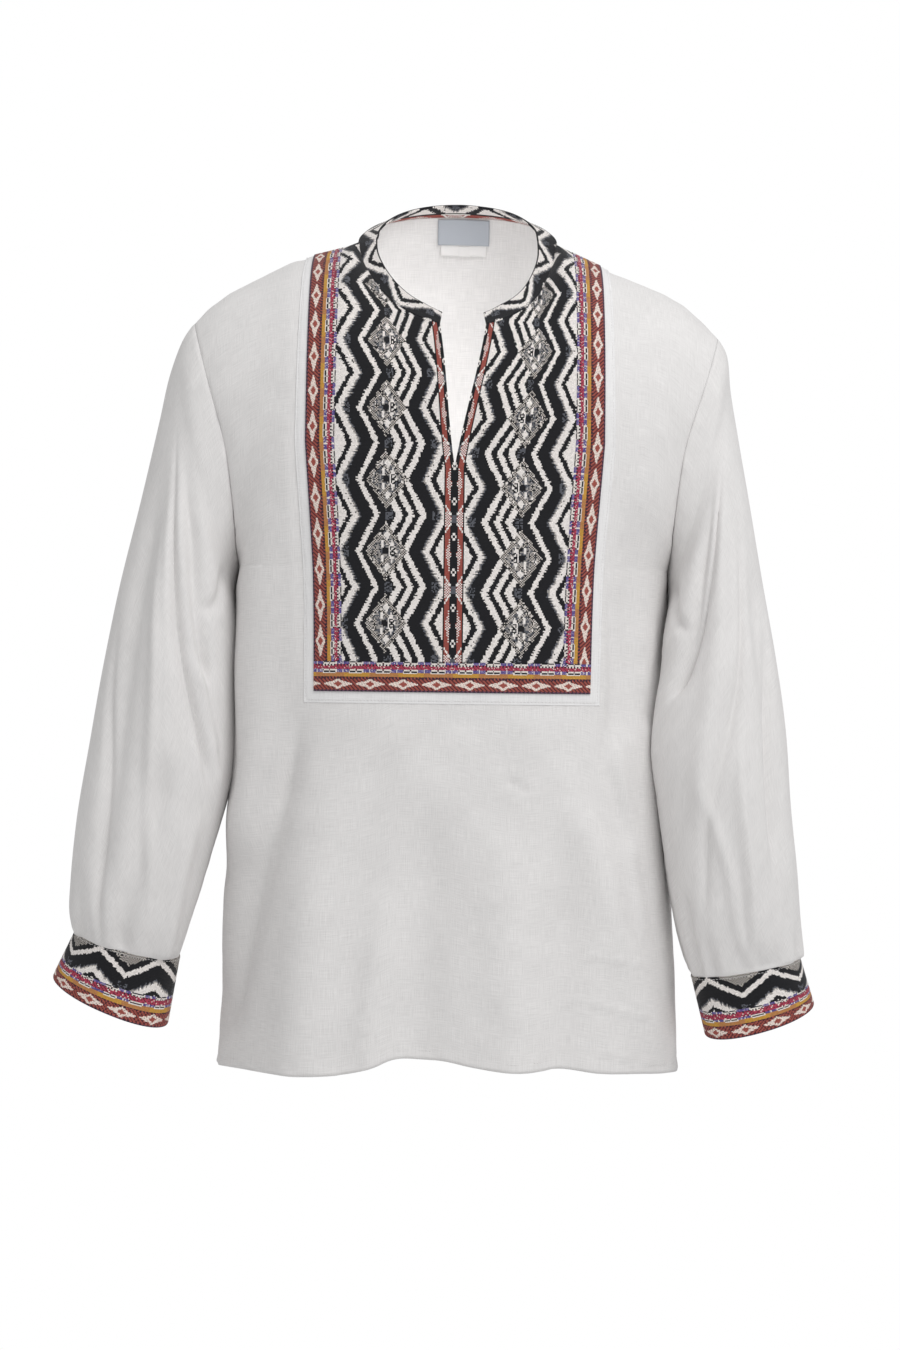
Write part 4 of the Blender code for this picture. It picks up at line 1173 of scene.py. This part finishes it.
def ribbon_chart(w, along, first, pitch):
    """Colour codes of a ribbon, w in from its outer edge and along it, in millimetres.

    Bands run along it; on the red-brown one lie stepped diamonds, at first and every pitch.
    The narrow bands turn from purple blocks to white and black dashes every 12.4 mm.
    """
    w, along = np.broadcast_arrays(w, along)
    band = np.searchsorted(RIBBON_BANDS, w.reshape(-1)).reshape(w.shape)
    cell_w = np.floor(w / RIBBON_CELL).astype(int)
    cell_l = np.floor(along / RIBBON_CELL).astype(int)
    twill = (cell_w + cell_l) % 5 < 3
    by_turns = cell_l % 4 < 2
    chance = np.random.default_rng(21).uniform(0, 1, w.shape)
    block = (along + 7) % (2 * BLOCK) < BLOCK
    joint = (along + 7) % (BLOCK / 2) < 1.0
    purple = np.where(joint | (chance < 0.06), 5, np.where(chance < 0.35, 11, 6))
    dash = np.where(block, purple, np.where(joint, 9, 5))
    dark_dash = np.where(block, purple, np.where(joint, 5, 8))
    red = np.where(twill, 1, 9)
    bands = (
        np.where(twill, 0, 10),
        red,
        np.where(by_turns, 0, red),
        np.where(~block & (w > 16.2), 5, np.where(np.sin(along / 7.9) > 0.1, 3, 4)),
        dark_dash,
        dash,
        np.where(chance < 0.08, 2, np.where((cell_w + cell_l) % 5 < 1, 9, 7)),
        np.where(by_turns, 8, np.where(block, 7, 5)),
        dash,
        dark_dash,
    )
    code = np.choose(band, bands)
    length = np.abs((along - first + pitch / 2) % pitch - pitch / 2) * DIAMOND_PITCH / pitch
    apart = np.abs(w - 6.9)
    half = np.interp(length, DIAMOND_STEPS, DIAMOND_HALVES)
    cream = np.where((cell_w + 2 * cell_l) % 7 == 0, 12, 2)
    return painted(
        code,
        ((band == 1) & (apart < half) & (length < 14.2), cream),
        ((band == 1) & (lozenge(apart, length, 2.6, 4.4) < 1), 1),
    )


ribbon = woven_cloth("woven_ribbon_cotton", 0.0009, 0.8)
across_ribbon = np.arange(0, RIBBON + 1e-6, RIBBON_CELL / 1000)
for which, side, first in (("left", 1, 1.5), ("right", -1, 18.5)):
    away, slit, edge, _ = front_map(side)
    q = away - edge[:, None]
    steps = np.arange(0, BIB_REACH, RIBBON_CELL / 1000)
    limit = np.full(len(q), RIBBON)
    place = on_front(side, q, across_ribbon, limit, RIBBON_BOTTOM + RIBBON, steps)
    w = RIBBON * 1000 - middles(across_ribbon)[None] * 1000
    code = ribbon_chart(w, middles(steps)[:, None] * 1000, first, DIAMOND_PITCH)
    patch = (*place, uneven(RIBBON_PALETTE[code], 71 + side, 0.08))
    made = cloth(f"border_{which}_ribbon", [patch], ribbon, RIBBON_LIFT, rim=0.0015)
    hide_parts(f"border_{which}")

patches = []
for side in SIDES:
    away, slit, edge, _ = front_map(side)
    targets = np.arange(0, 0.132, RIBBON_CELL / 1000)
    limit = edge + RIBBON
    points, normals, flat = on_front(side, away, targets, limit, RIBBON_BOTTOM, across_ribbon)
    w = middles(across_ribbon)[:, None] * 1000
    code = ribbon_chart(w, side * middles(targets)[None] * 1000, -14, 30.0)
    patches.append((points, normals, flat, uneven(RIBBON_PALETTE[code], 81 + side, 0.08)))
made = cloth("border_bottom_ribbon", patches, ribbon, RIBBON_LIFT, rim=0.0015)
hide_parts("border_bottom")

# Collar
# A low stand band of the patterned cloth in two layers, sewn on round the neckline and
# leaning in over it; its front ends are rounded off at the slit.
COLLAR_HEIGHT = 0.0195
COLLAR_THICK = 0.0023
COLLAR_LIFT = 0.0015
COLLAR_CELL = 0.0009


def band_loop(surface, normals, height, thick, cell):
    """A folded band round a surface of (rows, columns): out, over the edge, in and under.

    The surface is read at heights between its two edges; each point moves off along the
    normal by half the thickness, and by the cosine of a half turn at both edges.
    """
    half = thick / 2
    turn = np.linspace(0, np.pi, 5)[1:-1]
    outer = np.linspace(half, height - half, int(height / cell) + 1)
    top = height - half + half * np.sin(turn)
    foot = half - half * np.sin(turn)
    at = np.concatenate([outer, top, outer[::-1], foot, [half]])
    flat = np.full(len(outer), half)
    lift = np.concatenate([flat, half * np.cos(turn), -flat, -half * np.cos(turn), [half]])
    rows = np.linspace(0, height, len(surface))
    run = np.insert(np.cumsum(np.diff(runs(surface, axis=1).mean(axis=0))), 0, 0)
    near_end = np.minimum(run, run[-1] - run)
    round_end = np.sqrt(np.clip(1 - (1 - np.clip(near_end / half, 0, 1)) ** 2, 0, 1))
    out = unit(through(rows, normals, at))
    points = through(rows, surface, at) + out * (lift[:, None] * round_end)[..., None]
    around = np.insert(np.cumsum(np.abs(np.diff(at)) + np.abs(np.diff(lift)) * 0.6), 0, 0)
    facing = out * np.sign(np.where(np.abs(lift) < 1e-9, 1, lift))[:, None, None]
    return points, facing, at, lift, run, around


def outer_row(at, lift, height):
    """The row of a folded band's outer face that is nearest to a height."""
    return np.argmin(np.abs(at - height) + (lift < lift.max() - 1e-6))


edges = [
    halves[front, side]["grid"][-1, PANELS[front]["columns"] <= AT_NECK + 1e-9]
    for front, side in ((True, 1), (False, 1), (False, -1), (True, -1))
]
foot = np.concatenate([edges[0], edges[1][-2::-1], edges[2][1:], edges[3][-2::-1]])
whole = runs(foot)[-1]
between = np.linspace(0.0012, whole - 0.0012, int(whole / COLLAR_CELL))
ends = np.array([0, 0.0004, 0.0008])
foot = spaced(foot, np.concatenate([ends, between, whole - ends[::-1]]))
collar_run = runs(foot)
sideways = np.abs(foot[:, 0]) / NECK_HALF
inward = unit((np.array([NECK_SWAY / 2, 0, 0]) - foot) * (1, 1, 0))
# Degrees from upright: 43 at the ends, 72 at the sides, 64 behind, less at the front quarters
behind, ahead = ease(foot[:, 1] / 0.05), ease(-foot[:, 1] / 0.05)
lean = 43 + (29 - 16 * ahead) * sideways**2 + 21 * behind * (1 - sideways**2)
lean = np.radians(lean)[:, None]
rise = np.sin(np.pi / 2 - lean) * (0, 0, 1) + np.sin(lean) * inward
upright = np.where(foot[:, 1:2] < 0, 0.9, 0.5) * (1 - sideways[:, None])
begin = unit(inward * 0.9 + upright * (0, 0, 1))
corner = np.interp(np.minimum(collar_run, whole - collar_run), [0, 0.021], [0.80, 1])
part = np.linspace(-0.06, 1, 9)[:, None, None]
way = unit(begin * (1 - np.clip(part, 0, 1)) * 0.5 + rise)
band = foot + way * COLLAR_HEIGHT * part * corner[:, None]
out = outward(band, band.mean(axis=1, keepdims=True) - (0, 0, 0.05))
band = band + out * COLLAR_LIFT
points, facing, at, lift, run, around = band_loop(
    band, out, COLLAR_HEIGHT * 1.06, COLLAR_THICK, COLLAR_CELL
)
high = middles(at)[:, None] * 1000
outside = middles(lift)[:, None] > 0
s = np.where(outside, 27.5 - 0.92 * high, 3.5 + 0.7 * high)
along = middles(run)[None] * 1000
period = (run[-1] * 1000 - 24) / 8
code = bib_chart(s, along, 12 + period / 2, period, 12 + period / 2, period)
flat = flat_grid(run[None], around[:, None])
patch = (points, facing, flat, uneven(BIB_PALETTE[code], 93, 0.07))
low = outer_row(at, lift, 0.0022)
sewn["collar"] += [(points[low, 3:-3], facing[low, 3:-3])]
made = cloth("collar_band", [patch], patterned)
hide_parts("collar")

# Cuffs
# Open bands of the patterned cloth in two layers, a ribbon woven along their foot. Each
# wraps the gathered end of its sleeve and laps over itself behind, on the outer side.
CUFF_THICK = 0.0020
CUFF_CELL = 0.0010
# Millimetres: the cuff's height, of which the ribbon takes the foot, and the zigzag's length
CUFF_TALL = 54.0
CUFF_RIBBON = 24.0
CUFF_PERIOD = 60.0


def cuff_chart(h, along):
    """Colour codes of a cuff, h down from its top edge and along it, in millimetres.

    The zigzag's outer half as on the bib, turned to run round; the ribbon has its own chart.
    """
    wave = np.abs(along / CUFF_PERIOD % 1 * 2 - 1)
    draw = np.random.default_rng(13)
    row = np.floor(along / BIB_CELL).astype(int)
    shift = h + 67.2 - 16.0 * wave + draw.normal(0, 0.35, UNEVEN_ROWS)[row % UNEVEN_ROWS]
    code = painted(
        np.zeros(h.shape, int),
        (shift < 62, 5 * checked(h, along)),
        ((shift >= 67.2) & (shift < 72.0), 1),
    )
    code = fading(code, 87.6 - shift, row, draw)
    speckle = draw.uniform(0, 1, h.shape) < 0.6
    return painted(
        code,
        ((shift >= 88.0) & (shift < 92.0), 1),
        (shift >= 96.0, 1),
        ((wave > 0.86) & (np.abs(shift - 79.5) < 2.4) & speckle, 3),
    )


for which, side in (("left", 1), ("right", -1)):
    between = np.linspace(-0.0958, 0.951, 290)
    turns = np.concatenate([[-0.1, -0.0986, -0.0972], between, [0.9523, 0.9536, 0.955]])
    rings = sleeve_sections(which, turns)[-2:]
    down = np.linspace(-0.03, 1, 9)[:, None, None]
    band = rings[0] + (rings[1] - rings[0]) * down
    out = outward(band, band.mean(axis=1, keepdims=True))
    lap = CUFF_THICK / 2 + (CUFF_THICK + 0.0003) * ease((turns - 0.84) / 0.05)
    band = band + out * lap[None, :, None]
    points, facing, at, lift, run, around = band_loop(
        band[::-1], out[::-1], CUFF_TALL / 1000, CUFF_THICK, CUFF_CELL
    )
    h = CUFF_TALL - middles(at)[:, None] * 1000
    along = middles(run)[None] * 1000 + 8
    h, along = np.broadcast_arrays(h, along)
    colours = BIB_PALETTE[cuff_chart(h, along)]
    w = (CUFF_TALL - h) * 27 / CUFF_RIBBON
    strip = RIBBON_PALETTE[ribbon_chart(w, along, 5, 30.0)]
    colours = np.where((h > CUFF_TALL - CUFF_RIBBON)[..., None], strip, colours)
    # Painted shade: the cuff's inner face, turned to the sleeve, is drawn about a third as bright
    # as its outer face
    inside = middles(lift)[:, None, None] < -1e-6
    colours = np.where(inside, 0.10 + 0.35 * colours, colours)
    flat = flat_grid(run[None], around[:, None])
    mirror = np.array((side, 1, 1))
    patch = (points * mirror, facing * mirror, flat, uneven(colours, 101 + side, 0.07))
    high = outer_row(at, lift, 0.0518)
    sewn["cuffs"] += [(points[high, 3:-3] * mirror, facing[high, 3:-3] * mirror)]
    made = cloth(f"cuff_{which}_band", [patch], patterned)
    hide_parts(f"cuff_{which}")

# Labels
# A grey woven label, a white printed care label under it and a small size tab, all left
# bare, sewn inside the back of the neck under the collar's seam.
LABELS = {
    "label_care": dict(middle=0.006, width=0.045, top=0.0030, foot=0.0350, layer=0),
    "label_woven": dict(middle=0.006, width=0.050, top=0.0010, foot=0.0245, layer=1),
    "label_size": dict(middle=0.007, width=0.011, top=0.0255, foot=0.0350, layer=1),
}


def label_cloth(name, colour, pitch):
    """Satin-woven polyester label tape: fine ribs across it and a slight shine."""
    made, tree = new_material(name, {"Roughness": 0.55})
    ribs = ribbed(tree, pitch, 0.4)
    tone = add(tree, "MapRange", {"Value": ribs, "To Min": 0.93, "To Max": 1.03}).outputs["Result"]
    finish(tree, tuple(linear(colour)), tone, ribs, 0.3, 0.0002)
    return made


grey_tape = label_cloth("label_tape_grey_satin", "#B4B9C1", 0.0008)
white_tape = label_cloth("label_tape_white_satin", "#EFEDEC", 0.0008)
left, right = (
    np.concatenate([halves[False, side]["grid"], halves[False, side]["normals"]], axis=-1)
    for side in SIDES
)
inside_back = np.concatenate([right[:, :0:-1], left], axis=1)
centre_levels = left[:, 0, 2]
for name, sizes in LABELS.items():
    levels = centre_levels[-1] - np.linspace(sizes["foot"], sizes["top"], 17)
    x = sizes["middle"] + np.linspace(-0.5, 0.5, 25) * sizes["width"]
    at = np.interp(levels, centre_levels, np.arange(len(inside_back)))
    low = np.minimum(at.astype(int), len(inside_back) - 2)
    part = (at - low)[:, None, None]
    rows = inside_back[low] * (1 - part) + inside_back[low + 1] * part
    both = np.stack([along_line(row, row[:, 0], x) for row in rows])
    out = -unit(both[..., 3:])
    hanging = np.linspace(1, 0, 17)[:, None] ** 2
    bow = 0.0010 * hanging * (1 + 0.5 * np.cos((x - sizes["middle"]) * 90))[None]
    lift = 0.0006 + sizes["layer"] * 0.0008 + bow
    flat = flat_grid(x[None], levels[:, None])
    tape = grey_tape if name == "label_woven" else white_tape
    patch = (both[..., :3] + out * lift[..., None], out, flat, None)
    made = cloth(f"{name}_tape", [patch], tape, solid=0.0003)
    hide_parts(name)

# Stitches
# Machine stitches of white polyester thread round the base panel, the hem and the cuffs and
# of black thread along the collar's foot, drawn as short pointed capsules half sunk in.
STITCH = dict(pitch=0.0033, long=0.0025, wide=0.00042, high=0.00030)
SEWN_LIFT = dict(base=BASE_LIFT + 0.0001, hem=FRONT_LIFT - 0.0001, collar=0.0001, cuffs=0.0001)


def stitches(name, lines, lift, material):
    """One mesh of capsules along lines of (points, normals): two squares and two tips each."""
    square = [(0.3, -1, 0), (0.3, 0, 1), (0.3, 1, 0), (0.3, 0, -1)]
    behind = [(-a, b, c) for a, b, c in square]
    shape = np.array([(-0.5, 0, -0.6), *behind, *square, (0.5, 0, -0.6)])
    shape = shape * (STITCH["long"], STITCH["wide"] / 2, STITCH["high"])
    corners = []
    for points, normals in lines:
        run = runs(points)
        at = np.arange(STITCH["pitch"], run[-1] - STITCH["pitch"], STITCH["pitch"])
        place = spaced(points, at)
        ahead = unit(spaced(points, at + 0.0005) - place)
        out = unit(along_line(normals, run, at))
        aside = unit(np.cross(out, ahead))
        axes = np.stack([ahead, aside, out], axis=1)
        corners.append((place + out * lift)[:, None] + np.einsum("ck,nkx->ncx", shape, axes))
    corners = np.concatenate(corners)
    ring = [(i, i % 4 + 1, i % 4 + 5, i + 4) for i in range(1, 5)]
    tips = [(0, i % 4 + 1, i) for i in range(1, 5)] + [(9, i + 4, i % 4 + 5) for i in range(1, 5)]
    start = 10 * np.arange(len(corners))[:, None, None]
    faces = (np.array(ring) + start).reshape(-1, 4).tolist()
    faces += (np.array(tips) + start).reshape(-1, 3).tolist()
    mesh = bpy.data.meshes.new(name)
    mesh.from_pydata(corners.reshape(-1, 3).tolist(), [], faces)
    mesh.shade_smooth()
    mesh.materials.append(material)
    made = bpy.data.objects.new(name, mesh)
    scene.collection.objects.link(made)
    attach(made, "root")


def sewing_thread(name, colour):
    """Spun polyester sewing thread: two plies twisted together, with a faint sheen."""
    made, tree = new_material(name, {"Roughness": 0.6, "Sheen Weight": 0.1})
    place = add(tree, "TexCoord").outputs["Object"]
    waves = {"Vector": place, "Scale": 900, "Distortion": 1.5}
    plies = add(tree, "TexWave", waves, bands_direction="DIAGONAL").outputs["Fac"]
    tone = add(tree, "MapRange", {"Value": plies, "To Min": 0.82, "To Max": 1.05}).outputs["Result"]
    finish(tree, tuple(linear(colour)), tone, plies, 0.3, 0.0001)
    return made


white_thread = sewing_thread("sewing_thread_white_polyester", "#EFEDEC")
black_thread = sewing_thread("sewing_thread_black_polyester", "#202024")
for front in (True, False):
    for side in SIDES:
        half = halves[front, side]
        both = np.concatenate([half["grid"], half["normals"]], axis=-1)
        columns = zip(both.transpose(1, 0, 2), half["up"].T)
        line = np.stack([along_line(column, up, HEM_DEPTH) for column, up in columns])
        sewn["hem"].append((line[:, :3], unit(line[:, 3:])))
for seam, lines in sewn.items():
    thread, slot = (white_thread, "white_cloth")
    if seam == "collar":
        thread, slot = (black_thread, "patterned_cloth")
    stitches(f"stitches_{seam}", lines, SEWN_LIFT[seam], thread)
